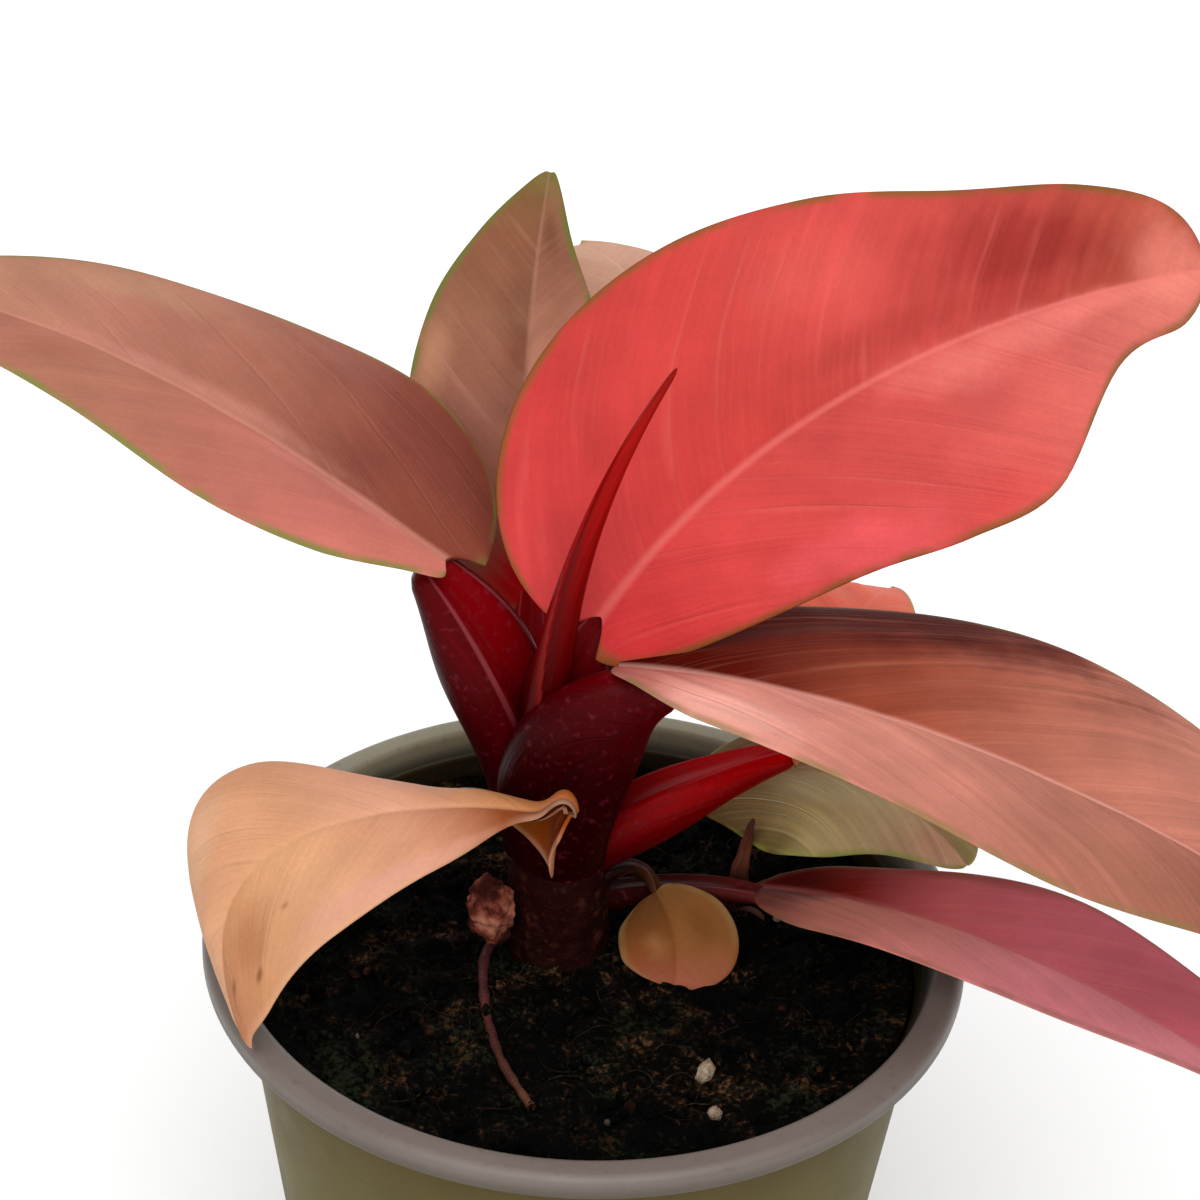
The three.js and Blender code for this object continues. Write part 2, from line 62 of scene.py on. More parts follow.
# The pot, turned from a profile. A low band runs round the wall between two shares of its height, and the
# mouth steps out over the wall by a width and height. Edges that turn by more than the crease, in degrees,
# stay sharp.
POT = {
    "height": 88,
    "lip_radius": 52.5,
    "lip_drop": 3.4,
    "mouth_radius": 48.1,
    "wall_top": 47.6,
    "foot_radius": 36.8,
    "wall": 1.2,
    "wall_rings": 26,
    "floor": 1.4,
    "lip_round": 1.5,
    "lip_edge": 0.7,
    "lip_fillet": 0.5,
    "mouth_round": 1,
    "mouth_step": (0.25, 1.2),
    "neck_drop": 2.5,
    "band": 0.12,
    "band_span": (0.86, 0.9),
    "foot_round": 0.6,
    "channel_inner": 19,
    "channel_outer": 32,
    "channel_rise": 1.8,
    "drain_radius": 3.2,
    "drains": 6,
    "drain_sides": 40,
    "crease": 35,
    "sides": 160,
}

# Radius of the small ring that closes a turned solid at its axis
AXIS = 0.05

# Potting mix: its level and the height of its swells. A layer of lumps is its height, size, squash along
# z and seed. Facets are the sides of the packed soil, whose flats the fine one stays within. Loose crumbs
# and chips of bark have a least and greatest size, keep away from the rim and stand over the top by a
# share of their size. A pale grain is x, y and size. The circle that is kept clear, before the small
# leaf, is x, y and radius, and ground, crumbs and fibres sink there.
SOIL = {
    "level": 82,
    "relief": 0.7,
    "lumps": [(1.3, 3.2, 1, 1), (0.8, 1.3, 1, 2)],
    "gap": 0.3,
    "sides": 180,
    "rings": 64,
    "middle": 0.004,
    "rim_slope": 12,
    "facets": 40,
    "crumbs": 1300,
    "crumb": (0.35, 1.5),
    "chips": 26,
    "chip": (0.5, 1.1),
    "stretch": (0.55, 1.15),
    "bumps": (0.8, 1.15),
    "from_rim": 1.8,
    "stand": 0.35,
    "grains": [(16.7, -24.6, 2.0), (18, -31.9, 1.2), (-30, -20, 0.7), (27, 9, 0.8), (4, -36, 0.6)],
    "clear": (13.5, -8, 8.5),
    "clear_slope": 1.4,
    "sink": {"ground": 1, "crumbs": 2, "fibres": 3},
}

# Fine root and peat fibres on the mix: each wanders from its start by equal steps, with a steady bend and a
# waver in radians, and arches over the top
FIBRE = {
    "count": 110,
    "points": 10,
    "step": (0.5, 1.1),
    "bend": 0.25,
    "waver": 0.2,
    "start_from_rim": 6,
    "from_rim": 1,
    "lift": 0.5,
    "arch": 0.5,
    "radius": (0.06, 0.13),
    "sides": 5,
}

# Leaf blade: the rib under the midrib has a half width at the tip, and more at the base, and the groove
# lies over it. The quilt of folds between side veins and of broader swells is that high, with pleats of a
# width and length, and reaches its height at a margin's distance from the edge.
BLADE = {
    "thickness": 0.5,
    "rib": 1.5,
    "rib_width": 1.1,
    "rib_tip": 0.3,
    "groove": 0.22,
    "groove_width": 0.45,
    "quilt": 0.5,
    "pleat": 4.5,
    "pleat_length": 30,
    "swell": 14,
    "margin": 6,
    "vein_bend": 0.012,
    "round": 0.5,
    "narrowest": 0.4,
    "rows": 96,
}
HALF_COLUMNS = [
    0, 0.012, 0.025, 0.04, 0.06, 0.09, 0.13, 0.18, 0.24, 0.31, 0.38, 0.45,
    0.52, 0.59, 0.66, 0.73, 0.79, 0.85, 0.9, 0.94, 0.965, 0.982, 0.993, 1,
]

# Stalk: the hems beside its groove, by height, turn from its middle and width, and the groove's width. Turns
# and widths are in radians. `end` is the share of its length that is rounded off, and `under` is how far the
# end lies under the midrib, against `deep`.
STALK = {
    "sides": 48,
    "rings": 40,
    "hem": 0.1,
    "hem_turn": 0.66,
    "hem_width": 0.13,
    "groove_width": 0.5,
    "end": 0.05,
    "under": 1.1,
}

# How far along the midrib the shape of the blade's base reaches, and where its waves are at full height
BASE = {"lobe": 0.4, "roll": 0.3, "square": 0.3, "wave": 0.17}

# Stem with leaf scars, and bark whose layers are written as the soil's lumps are
STEM = {
    "path": [(-3, 3, 56), (-3, 2, 84), (-5, 4, 104), (-5, 3, 126)],
    "radii": [5.5, 6.9, 6.4, 5.6, 2.4],
    "scar": 0.35,
    "scars": 5,
    "bark": 0.45,
    "bark_layers": [(1, 1.6, 0.4, 4), (0.6, 0.7, 1, 5)],
    "length": 70,
    "sides": 64,
    "rings": 110,
}

# Aerial root, which thins by a share towards its end and has knobs where two waves along it meet
ROOT = {
    "path": [(-6, 2, 86), (-13, -1, 83.6), (-13.2, -12, 83.2), (-10.5, -24, 83.2), (-6, -33, 82.6)],
    "radius": 0.8,
    "taper": 0.3,
    "knobs": 0.12,
    "knob_waves": (61, 23),
    "length": 45,
    "sides": 16,
    "rings": 90,
}

# Stub of a fallen leaf's stalk at the stem's left: its middle, radius, height against its width and
# lumps, in layers as the soil's are
STUB = {
    "at": (-12.9, -1.5, 90.5),
    "radius": 4,
    "tall": 1.4,
    "lumps": 1.4,
    "lump_layers": [(0.8, 2.4, 1, 6), (0.4, 0.9, 1, 7)],
}

# Each leaf has a stalk and a blade, each along a cubic curve. The stalk's `path` has three points, and
# the fourth is where it meets the blade, at `joint` along it. `wide` and `deep` are its half sizes across
# and through, at equal steps, `inner` is the side that its groove faces, and `dent` is the groove's depth
# at foot and top, against `deep`. `left` and `right` are the blade's half widths, seen along it with the
# upper face up. `up` is the way the upper face looks, from base to tip. `fold` raises both halves and
# `curl` their edges, in degrees, and `roll` bends the left and right edge near the base. `lobes` sweeps
# the base corners back. `straight` sets the rows square to the whole blade instead of the midrib. A wave
# is its half, height, number along the blade and phase. A hump is its height, place along the midrib and
# reach. `veins` is how far a side vein in each half runs forward for each millimetre it runs out. A leaf
# is plain where its table says nothing.
PLAIN_LEAF = {
    "joint": 0.03,
    "inner": (-0.3, 0, 1),
    "dent": (0.2, 0.4),
    "curl": -12,
    "roll": (0, 0),
    "lobes": (0, 0),
    "straight": 0,
    "waves": [],
    "hump": (0, 0, 1),
    "veins": (1, 1),
}
LEAVES = {
    "leaf_peach": {
        "path": [(-6, 4, 99), (-13, 6, 103.5), (-20, 5, 105.5)],
        "wide": [2.6, 2.2, 1.9, 1.3],
        "deep": [2.4, 2.1, 1.7, 1.2],
        "inner": (0, 0, 1),
        "dent": (0.2, 0.3),
        "midrib": [(-2.5, -16.5, 116.5), (-10, -16, 120.5), (-61, -1, 109), (-43.5, -31, 91)],
        "joint": 0.3,
        "straight": 1,
        "roll": (-15, -105),
        "hump": (4, 0.04, 0.05),
        "up": [(0.1, -0.2, 1), (-0.6, -0.5, 0.7)],
        "left": [0.6, 0.8, 2.5, 9.5, 15.5, 15, 6.5, 0.5],
        "right": [5, 11, 10, 8.5, 17, 17.5, 8, 0.5],
        "fold": (4, 4),
        "curl": -10,
        "waves": [(1, 0.6, 1.6, 0.1), (-1, 0.6, 1.5, 0.7)],
        "veins": (1.1, 1.1),
    },
    "leaf_juvenile": {
        "path": [(0, 2, 92), (4, 4, 95), (8, 6, 95)],
        "wide": [1.4, 1.3, 1.2, 0.9],
        "deep": [1.3, 1.2, 1.1, 0.8],
        "inner": (0, 0, 1),
        "dent": (0.2, 0.3),
        "midrib": [(9.5, 3.6, 90.6), (11.7, 1.7, 88.8), (13.5, -1, 85), (12.6, -5.6, 81.4)],
        "up": [(0, -1, 0.6), (0, -1, 0.6)],
        "left": [1.5, 2.8, 5, 7.6, 8.8, 8, 5, 1],
        "right": [2.5, 5, 6.8, 7.6, 7.8, 7.2, 4.8, 1],
        "fold": (4, 4),
        "curl": -8,
        "veins": (0.8, 0.8),
    },
    "leaf_pink": {
        "path": [(0, 4, 88), (9, 10, 87), (18, 10, 87.5)],
        "wide": [2.4, 2.2, 2, 1.3],
        "deep": [2.2, 2, 1.8, 1.2],
        "midrib": [(24.5, 6, 90), (44, 0, 94), (66, -14, 95.5), (96, -34, 85.5)],
        "up": [(0, 0.1, 1), (0.2, 0, 1)],
        "left": [1.5, 4, 8, 12, 14, 12, 7, 0.5],
        "right": [3, 8.5, 13.5, 15, 11.5, 7, 3.5, 0.5],
        "fold": (20, 14),
        "curl": -8,
        "waves": [(1, 0.7, 1.8, 0.3), (-1, 0.7, 1.6, 0.7)],
        "veins": (2.2, 2.2),
    },
    "leaf_green": {
        "path": [(-1, 6, 90), (5, 12, 93), (9, 17, 94.5)],
        "wide": [2.6, 2.4, 2, 1.3],
        "deep": [2.4, 2.2, 1.8, 1.2],
        "midrib": [(14, 20, 95), (26, 26, 101), (42, 22, 101), (53, 10, 92.5)],
        "up": [(0, -0.3, 1), (0, -0.3, 1)],
        "left": [1.5, 3.5, 7, 11, 13, 9, 5, 0.5],
        "right": [1.5, 6, 12.5, 14.5, 13, 8, 4, 0.5],
        "fold": (4, 4),
        "waves": [(1, 0.6, 1.4, 0.3), (-1, 0.5, 1.5, 0.7)],
        "veins": (3, 3),
    },
    "leaf_behind_right": {
        "path": [(-1, 3, 98), (9, 4, 105), (19, 6, 110.5)],
        "wide": [4.2, 4.6, 3.2, 1.8],
        "deep": [4.2, 4.6, 3.2, 1.6],
        "midrib": [(27, 9, 110.5), (34, 24, 118), (38, 38, 119), (43, 54, 110)],
        "up": [(0, -0.2, 1), (0, 0, 1)],
        "left": [1.5, 7, 13.5, 16.5, 16, 11, 5, 0.5],
        "right": [1.5, 2, 5, 8.5, 9, 6, 3, 0.5],
        "fold": (12, 10),
        "lobes": (1, 1),
        "waves": [(1, 0.7, 1.4, 0.3), (-1, 0.7, 1.5, 0.7)],
    },
    "leaf_right": {
        "path": [(-4, 1, 98), (-6, -4, 114), (-1.5, -3.5, 127.5)],
        "wide": [6.6, 8.6, 7.8, 2.6],
        "deep": [4.6, 5.6, 5, 2.2],
        "inner": (0.2, 0.8, 0.6),
        "dent": (0.2, 0.3),
        "joint": 0.1,
        "midrib": [(3, -3, 131.8), (28, -11, 137), (66, -22, 132), (106, -40, 110)],
        "up": [(0, 0.1, 1), (0.2, 0, 1)],
        "left": [2, 7, 17, 26, 28.5, 26.5, 16, 0.5],
        "right": [2, 7, 16.5, 23, 22, 11, 4, 0.5],
        "fold": (28, 4),
        "waves": [(1, 1.2, 1.8, 0.2), (-1, 1, 1.5, 0.6)],
        "veins": (1.5, 1.8),
    },
    "leaf_left": {
        "path": [(-6, 4, 98), (-8.4, 5, 113), (-14, 5, 130)],
        "wide": [6, 6.6, 7.4, 3],
        "deep": [5, 5.6, 5.8, 2.2],
        "inner": (0.8, -0.5, 0.4),
        "dent": (0.3, 0.7),
        "midrib": [(-20, 4, 143), (-42, 9, 157), (-68, 16, 172), (-99, 20, 172)],
        "up": [(0, 0, 1), (0, -0.1, 1)],
        "left": [3, 7, 14, 17, 14, 9, 4, 0.5],
        "right": [4, 20, 28, 26.5, 19.5, 12, 6, 0.5],
        "fold": (14, 10),
        "lobes": (1, 5),
        "waves": [(-1, 0.9, 1.6, 0.1), (1, 0.8, 1.3, 0.4)],
        "veins": (1.6, 1.6),
    },
    "leaf_rear": {
        "path": [(-3, 7, 100), (0, 13, 108), (2, 19, 117)],
        "wide": [3.6, 3.2, 2.8, 1.8],
        "deep": [3.2, 2.8, 2.4, 1.6],
        "inner": (0, -1, 0),
        "midrib": [(2, 25.5, 125.8), (7, 39, 148.3), (9, 59, 159), (-5, 79, 152)],
        "up": [(0, -0.5, 1), (0, 0.3, 1)],
        "left": [3, 12, 17, 19, 17, 12, 6, 0.5],
        "right": [3, 11, 15, 17, 15, 11, 5, 0.5],
        "fold": (12, 10),
        "lobes": (4, 4),
        "waves": [(1, 1, 1.4, 0.3), (-1, 1, 1.5, 0.7)],
    },
    "leaf_back": {
        "path": [(-6, 6, 104), (-8, 12, 112), (-9, 18, 120)],
        "wide": [4, 3.6, 3, 1.8],
        "deep": [3.4, 3, 2.6, 1.6],
        "inner": (0, -1, 0),
        "midrib": [(-9, 23, 127.8), (-12, 33, 147.8), (-11, 47, 161.8), (-9, 57, 174)],
        "up": [(0, -1, 0.3), (-0.2, -1, 0.3)],
        "left": [3, 10, 14.5, 16.5, 14, 8.5, 3.5, 0.5],
        "right": [3, 10, 13, 12, 9, 4.5, 2, 0.5],
        "fold": (16, 10),
        "curl": -8,
        "lobes": (4, 4),
        "waves": [(1, 0.8, 1.5, 0.2), (-1, 0.7, 1.6, 0.5)],
    },
    "leaf_red": {
        "path": [(-5, 4, 114), (-4, 3.5, 122), (-2.5, 3, 130)],
        "wide": [5, 6.2, 5.4, 2],
        "deep": [4.6, 5, 4.4, 1.8],
        "inner": (0, -1, 0.2),
        "dent": (0.2, 0.3),
        "midrib": [(0.5, 1, 137), (14, 8, 158), (40, 14, 176), (72, 2, 190)],
        "up": [(-0.1, -0.85, 0.45), (-0.2, -0.8, 0.5)],
        "left": [3, 14, 23, 28.5, 29, 24.5, 17.5, 13.5, 8.5, 0.5],
        "right": [2.5, 8, 13.5, 18, 21, 23.5, 22, 9, 6, 0.5],
        "fold": (10, 6),
        "curl": -8,
        "lobes": (4, 5),
        "waves": [(1, 1.2, 1.6, 0.1), (-1, 1, 1.4, 0.5)],
        "veins": (0.5, 1.4),
    },
}

# The next leaf, rolled up: its seam is a step of a share of the radius, and winds round it between two turns
# in radians
NEW_LEAF = {
    "path": [(-6, -1, 124), (-4.5, -5, 148), (1.5, -6.5, 165), (8.5, -8, 179)],
    "wide": [3.7, 2, 1.05, 0.4],
    "deep": [3, 1.9, 1.1, 0.4],
    "inner": (0.6, -0.6, 0.3),
    "sides": 64,
    "rings": 120,
    "seam": 0.16,
    "seam_turn": (0.9, 3.1),
}

# Dry sheath at the foot of the lowest leaf. Its dent is a depth and width, its flutes a height and how
# fast they turn round and along it. The torn strips stand round its foot, reach out and rise by random
# amounts, and arch over their foot and tip.
DRY_SHEATH = {
    "path": [(20.5, 12, 78), (21, 12, 86), (22, 11.5, 92), (22.7, 11, 98.5)],
    "wide": [1.7, 1.5, 0.9, 0.4],
    "deep": [0.8, 0.7, 0.6, 0.4],
    "inner": (0, -1, 0),
    "sides": 32,
    "rings": 60,
    "dent": (0.5, 0.6),
    "flutes": (0.15, 5, 9),
    "crumple": 0.35,
    "crumple_size": 2.2,
}
STRIPS = {
    "wide": [1.2, 1.1, 0.7, 0.2],
    "deep": [0.25, 0.22, 0.2, 0.15],
    "inner": (0.1, 0.2, 1),
    "sides": 12,
    "rings": 16,
    "foot": (20.7, 12, 81.5),
    "apart": 0.8,
    "turns": (0.4, 1.5, 2.5, 3.6, 4.4, 5.5),
    "reach": (3.5, 6.5),
    "rise": (1, 4),
    "arch": (2.2, 1.5),
}

# Colours in daylight, from base to tip, of the left and right halves of each blade and of its underside
# and stalk, then of the stalk's groove and the blade's rib, veins and margin. The shares say how much rib,
# veins, blotches, painted fold shade and margin show. Some halves and patches hold painted shade and
# highlights, which are marked at their leaf.
# A patch is a soft oval on the upper face: place along the midrib from 0 to 1, place across from -1 to 1,
# reach along, reach across, colour and share.
LOOKS = {
    "leaf_red": {
        "slot": "red_leaf",
        # The left half darkens towards the tip as painted shade, where that half tilts away from the light.
        "left": [0xcc4040, 0xc43c3a, 0xc4403a, 0xc84a44, 0xb4443c, 0xa84c38],
        "right": [0xcc3638, 0xcc4240, 0xc64642, 0xcc4e4a, 0xd06058, 0xcc7064],
        "under": [0xa83e38, 0xb04c42],
        "stalk": [0x2c0204, 0x5a0508, 0x760a0a],
        "groove": 0x60000a,
        "rib": 0xee8078,
        "vein": 0xee7c70,
        "margin": 0x6e5a24,
        "shares": {"rib": 0.4, "veins": 0.16, "blotch": 0.28, "fold_shade": 0.16, "margin": 0.7},
        "patches": [
            # The first two patches are painted shade in the trough of the left half near the tip. The fourth
            # is a painted highlight beside the midrib.
            (0.8, 0.5, 0.17, 0.45, 0x942c28, 0.8),
            (0.68, 0.2, 0.3, 0.13, 0xb43e38, 0.6),
            (0.55, 0.6, 0.12, 0.35, 0xe06a5e, 0.2),
            (0.8, -0.12, 0.3, 0.22, 0xe87a70, 0.8),
            (0.42, -0.85, 0.26, 0.3, 0xf26066, 0.6),
            (0.66, -0.9, 0.14, 0.3, 0xcc4442, 0.6),
            (0.05, -0.7, 0.09, 0.6, 0xc83436, 0.6),
            (0.97, 0, 0.08, 1.2, 0xe88474, 0.7),
        ],
    },
    "leaf_left": {
        "slot": "salmon_leaf",
        "left": [0xcc7868, 0xc47064, 0xb46c5c, 0xb0725c, 0xac6c5a, 0xb48270],
        "right": [0x84402f, 0x8a4a3c, 0xa26452, 0xb07260, 0xb88068, 0xc89a80],
        "under": [0x905048, 0xa06858],
        "stalk": [0x240002, 0x480004, 0x5c0004],
        "groove": 0x90000a,
        "rib": 0xcc8a78,
        "vein": 0xd09080,
        "margin": 0x7c8040,
        "shares": {"rib": 0.6, "veins": 0.08, "blotch": 0.26, "fold_shade": 0.12, "margin": 0.9},
        "patches": [
            (0.45, -0.06, 0.35, 0.1, 0xd08c7c, 0.45),
            (0.2, 0.1, 0.2, 0.14, 0xd68a7c, 0.6),
            (0.12, -0.55, 0.14, 0.5, 0x7c3c32, 0.5),
            (0.62, -0.75, 0.2, 0.3, 0xb88a6c, 0.6),
            (0.66, 0.35, 0.12, 0.35, 0xa4604e, 0.4),
            (0.95, -0.6, 0.16, 0.5, 0xc4b498, 0.5),
        ],
    },
    "leaf_right": {
        "slot": "salmon_leaf",
        # The left half's dark base is painted shadow, where the red leaf shades it.
        "left": [0x3c0200, 0x581004, 0x964630, 0xb86e5a, 0xbc7866, 0xb07060],
        "right": [0xa8645a, 0xe09888, 0xd08674, 0xb4705e, 0x985a4a, 0x7c4c3c],
        "under": [0x8a5044, 0x985e50],
        "stalk": [0x2a0002, 0x3c0002, 0x78000a],
        "groove": 0x60000a,
        "rib": 0xe2a294,
        "vein": 0xc07c64,
        "margin": 0x7a7440,
        "shares": {"rib": 0.6, "veins": 0.24, "blotch": 0.3, "fold_shade": 0.3, "margin": 0.6},
        "patches": [
            # The first two patches extend that painted shadow. The third and fourth are painted light on the
            # near half by the base.
            (0.36, 0.9, 0.38, 0.5, 0x501006, 0.95),
            (0.25, 0.55, 0.2, 0.35, 0x5c1c10, 0.6),
            (0.2, -0.75, 0.14, 0.4, 0xf8bcac, 0.8),
            (0.16, -0.5, 0.12, 0.3, 0xe0a294, 0.5),
            (0.72, -0.7, 0.14, 0.4, 0x9c6450, 0.6),
            (0.45, 0.35, 0.1, 0.3, 0x86402f, 0.45),
        ],
    },
    "leaf_behind_right": {
        "slot": "salmon_leaf",
        "left": [0xd05040, 0xee6850, 0xf27258],
        "right": [0xd05040, 0xee6850, 0xf27258],
        "under": [0xb86454, 0xc07060],
        "stalk": [0x500002, 0xa00004, 0xc00004],
        "groove": 0xc80006,
        "rib": 0xf49880,
        "vein": 0xf49078,
        "margin": 0x9a8a50,
        "shares": {"rib": 0.25, "veins": 0.08, "blotch": 0.15, "fold_shade": 0.1, "margin": 0.6},
        "patches": [],
    },
    "leaf_back": {
        "slot": "olive_leaf",
        "left": [0x8c5244, 0x885242, 0x905c4a, 0x8c5c46, 0x8a583e, 0x745832],
        "right": [0xb47c66, 0xc48a74, 0xbc8068, 0x945f4a, 0x846040],
        "under": [0x7c4c3c, 0x805842],
        "stalk": [0x2a0204, 0x74040a, 0xa4080e],
        "groove": 0x80040a,
        "rib": 0xb48470,
        "vein": 0xb88c78,
        "margin": 0x667230,
        "shares": {"rib": 0.4, "veins": 0.22, "blotch": 0.4, "fold_shade": 0.2, "margin": 0.85},
        "patches": [
            (0, 0, 0.12, 2.4, 0xb0060c, 1),
            (0.5, 0.12, 0.1, 0.2, 0x7c4634, 0.6),
            (0.82, -0.35, 0.09, 0.35, 0x74422e, 0.6),
            (0.66, 0.2, 0.07, 0.25, 0x84503e, 0.5),
            (0.5, 0.85, 0.16, 0.25, 0xb48062, 0.6),
            (1, 0, 0.1, 1.5, 0x78683a, 0.7),
        ],
    },
    "leaf_rear": {
        "slot": "pale_leaf",
        "left": [0xb0705c, 0xbe8a74, 0xc8987e],
        "right": [0xb0705c, 0xc4907a, 0xc89880],
        "under": [0xa47862, 0xac8470],
        "stalk": [0x2a0204, 0x480808, 0x6a201c],
        "groove": 0x60080a,
        "rib": 0xd8b09a,
        "vein": 0xd8ac94,
        "margin": 0x8a8a50,
        "shares": {"rib": 0.5, "veins": 0.2, "blotch": 0.2, "fold_shade": 0.15, "margin": 0.7},
        "patches": [],
    },
    "leaf_green": {
        "slot": "olive_leaf",
        "left": [0x8a6a4c, 0xa48660, 0x9c8858],
        "right": [0x7c5434, 0xa08858, 0xc8b47c, 0xd0b488, 0xd8a888],
        "under": [0x7c6440, 0x84744a],
        "stalk": [0x2a0606, 0x3c1410, 0x5c4030],
        "groove": 0x4c241c,
        "rib": 0xb49a78,
        "vein": 0xe8dcb0,
        "margin": 0x98a848,
        "shares": {"rib": 0.35, "veins": 0.5, "blotch": 0.25, "fold_shade": 0.35, "margin": 0.7},
        "patches": [
            (0.5, -0.2, 0.3, 0.3, 0xd8cca0, 0.7),
            (0.25, -0.9, 0.3, 0.3, 0x5c481e, 0.6),
            (0.9, -0.3, 0.12, 0.6, 0xd08e74, 0.5),
        ],
    },
    "leaf_pink": {
        "slot": "rose_leaf",
        "left": [0x4c0400, 0x7c1c14, 0xd4666a, 0xd86c78, 0xcc6470, 0xd07478],
        "right": [0x70241c, 0xc07464, 0xe08880, 0xec8c94, 0xe08890, 0xb86a6e],
        "under": [0x84484a, 0x8c5454],
        "stalk": [0x2a0406, 0x3a0c0a, 0x702824],
        "groove": 0x4c1410,
        "rib": 0xcc7874,
        "vein": 0xcc7c78,
        "margin": 0x7c6040,
        "shares": {"rib": 0.35, "veins": 0.12, "blotch": 0.28, "fold_shade": 0.16, "margin": 0.5},
        "patches": [
            (0.38, 0.95, 0.22, 0.25, 0x78341c, 0.6),
            (0.06, 0.2, 0.14, 1.4, 0x480400, 0.9),
        ],
    },
    "leaf_peach": {
        "slot": "pale_leaf",
        "left": [0x3a0803, 0x84401c, 0xcc9070, 0xd8a078, 0xc08860, 0xac7052],
        "right": [0x9c4c18, 0xb87c50, 0xdca082, 0xd49a74, 0xd49a74, 0xcc9c7c],
        "under": [0x6c2402, 0x9c500c, 0xb06c24, 0xc08850],
        "stalk": [0x2c0606, 0x4a1410, 0x703c34],
        "groove": 0x5c2820,
        "rib": 0xe0b494,
        "vein": 0xe4b494,
        "margin": 0xd0a080,
        "shares": {"rib": 0.05, "veins": 0.05, "blotch": 0.2, "fold_shade": 0.08, "margin": 0.45},
        "patches": [
            (0.62, 0.1, 0.16, 0.4, 0xe0a478, 0.5),
            (0.78, 0.4, 0.1, 0.35, 0xaa6c48, 0.6),
            (0.8, -0.7, 0.14, 0.35, 0xd8b090, 0.5),
            (0.5, 0.85, 0.3, 0.22, 0xd49888, 0.6),
            (0.9, 0.4, 0.04, 0.1, 0x6e3a1c, 0.6),
            (0.8, 0.72, 0.025, 0.07, 0x6e3a1c, 0.6),
            (0.67, 0.5, 0.02, 0.05, 0x8a5430, 0.5),
        ],
    },
    "leaf_juvenile": {
        "slot": "pale_leaf",
        "left": [0x7c5028, 0x885628, 0x945c30, 0xac6048],
        "right": [0x623a18, 0x74441a, 0x8c4e20, 0xa05840],
        "under": [0x6a4830, 0x6c4836],
        "stalk": [0x140402, 0x200a04, 0x4c3018],
        "groove": 0x40200f,
        "rib": 0x9c7244,
        "vein": 0x9c7244,
        "margin": 0xa48c60,
        "shares": {"rib": 0, "veins": 0, "blotch": 0.16, "fold_shade": 0.06, "margin": 0.4},
        "patches": [
            (0.5, 0.45, 0.25, 0.3, 0x724216, 0.5),
            (0.6, -0.35, 0.25, 0.35, 0xa4764c, 0.6),
        ],
    },
}


def through(values, u):
    """Smooth values through equally spaced ones, at each u from 0 to 1."""
    padded = np.array([2 * values[0] - values[1], *values, 2 * values[-1] - values[-2]], float)
    x = np.clip(u, 0, 1) * (len(values) - 1)
    i = np.minimum(x.astype(int), len(values) - 2)
    f = x - i
    before, a, b, after = padded[i], padded[i + 1], padded[i + 2], padded[i + 3]
    curve = (2 * f**3 - 3 * f**2 + 1) * a + (3 * f**2 - 2 * f**3) * b
    return curve + (f**3 - 2 * f**2 + f) * (b - before) / 2 + (f**3 - f**2) * (after - a) / 2


def mix(pair, t):
    """Between a pair of values, at t from 0 to 1."""
    return pair[0] + (pair[1] - pair[0]) * t


def unit(vectors):
    """The vectors at a length of 1."""
    return vectors / np.linalg.norm(vectors, axis=-1, keepdims=True)


def squared(direction, axis):
    """The part of a direction that is square to each axis, at unit length."""
    direction = np.broadcast_to(np.asarray(direction, float), axis.shape)
    return unit(direction - axis * np.sum(direction * axis, axis=-1, keepdims=True))


def cubic(points, t):
    """Points of a cubic curve at each t from 0 to 1, and the unit directions along it."""
    a, b, c, d = np.array(points, float)
    t = np.asarray(t, float)[:, None]
    place = (1 - t) ** 3 * a + 3 * (1 - t) ** 2 * t * b + 3 * (1 - t) * t**2 * c + t**3 * d
    ahead = (1 - t) ** 2 * (b - a) + 2 * (1 - t) * t * (c - b) + t**2 * (d - c)
    return place, unit(ahead)


def rough(points, scale, seed):
    """Smooth random value from -1 to 1 at each point, for features of about `scale` millimetres."""
    shift = Vector((seed * 7.3, seed * 3.1, seed * 5.7))
    return np.array([noise.noise(Vector(p) / scale + shift) for p in points.reshape(-1, 3).tolist()])


def layered(points, layers):
    """Sum of rough layers, each with its height, size, squash along z and seed."""
    return sum(height * rough(points * (1, 1, squash), size, seed) for height, size, squash, seed in layers)


def travelled(line):
    """How far along a line of points each one is."""
    steps = np.linalg.norm(np.diff(line, axis=0), axis=-1)
    return np.concatenate([[0], np.cumsum(steps)])[:, None]


def once_round(sides):
    """Equal steps of angle, once round."""
    return np.arange(sides) / sides * 2 * np.pi


class Part:
    """Points in millimetres, blocks of faces with their material number, and named numbers for each point."""

    def __init__(self, points, blocks, **fields):
        self.points = points.reshape(-1, 3)
        self.blocks = blocks
        self.fields = {name: np.broadcast_to(f, points.shape[:-1]).ravel() for name, f in fields.items()}


def grid_quads(rows, columns, closed=False):
    """Faces of a grid of points, closed round its columns or not."""
    i, j = np.meshgrid(np.arange(rows - 1), np.arange(columns if closed else columns - 1), indexing="ij")
    k = (j + 1) % columns
    quads = np.stack([i * columns + j, (i + 1) * columns + j, (i + 1) * columns + k, i * columns + k], -1)
    return quads.reshape(-1, 4)


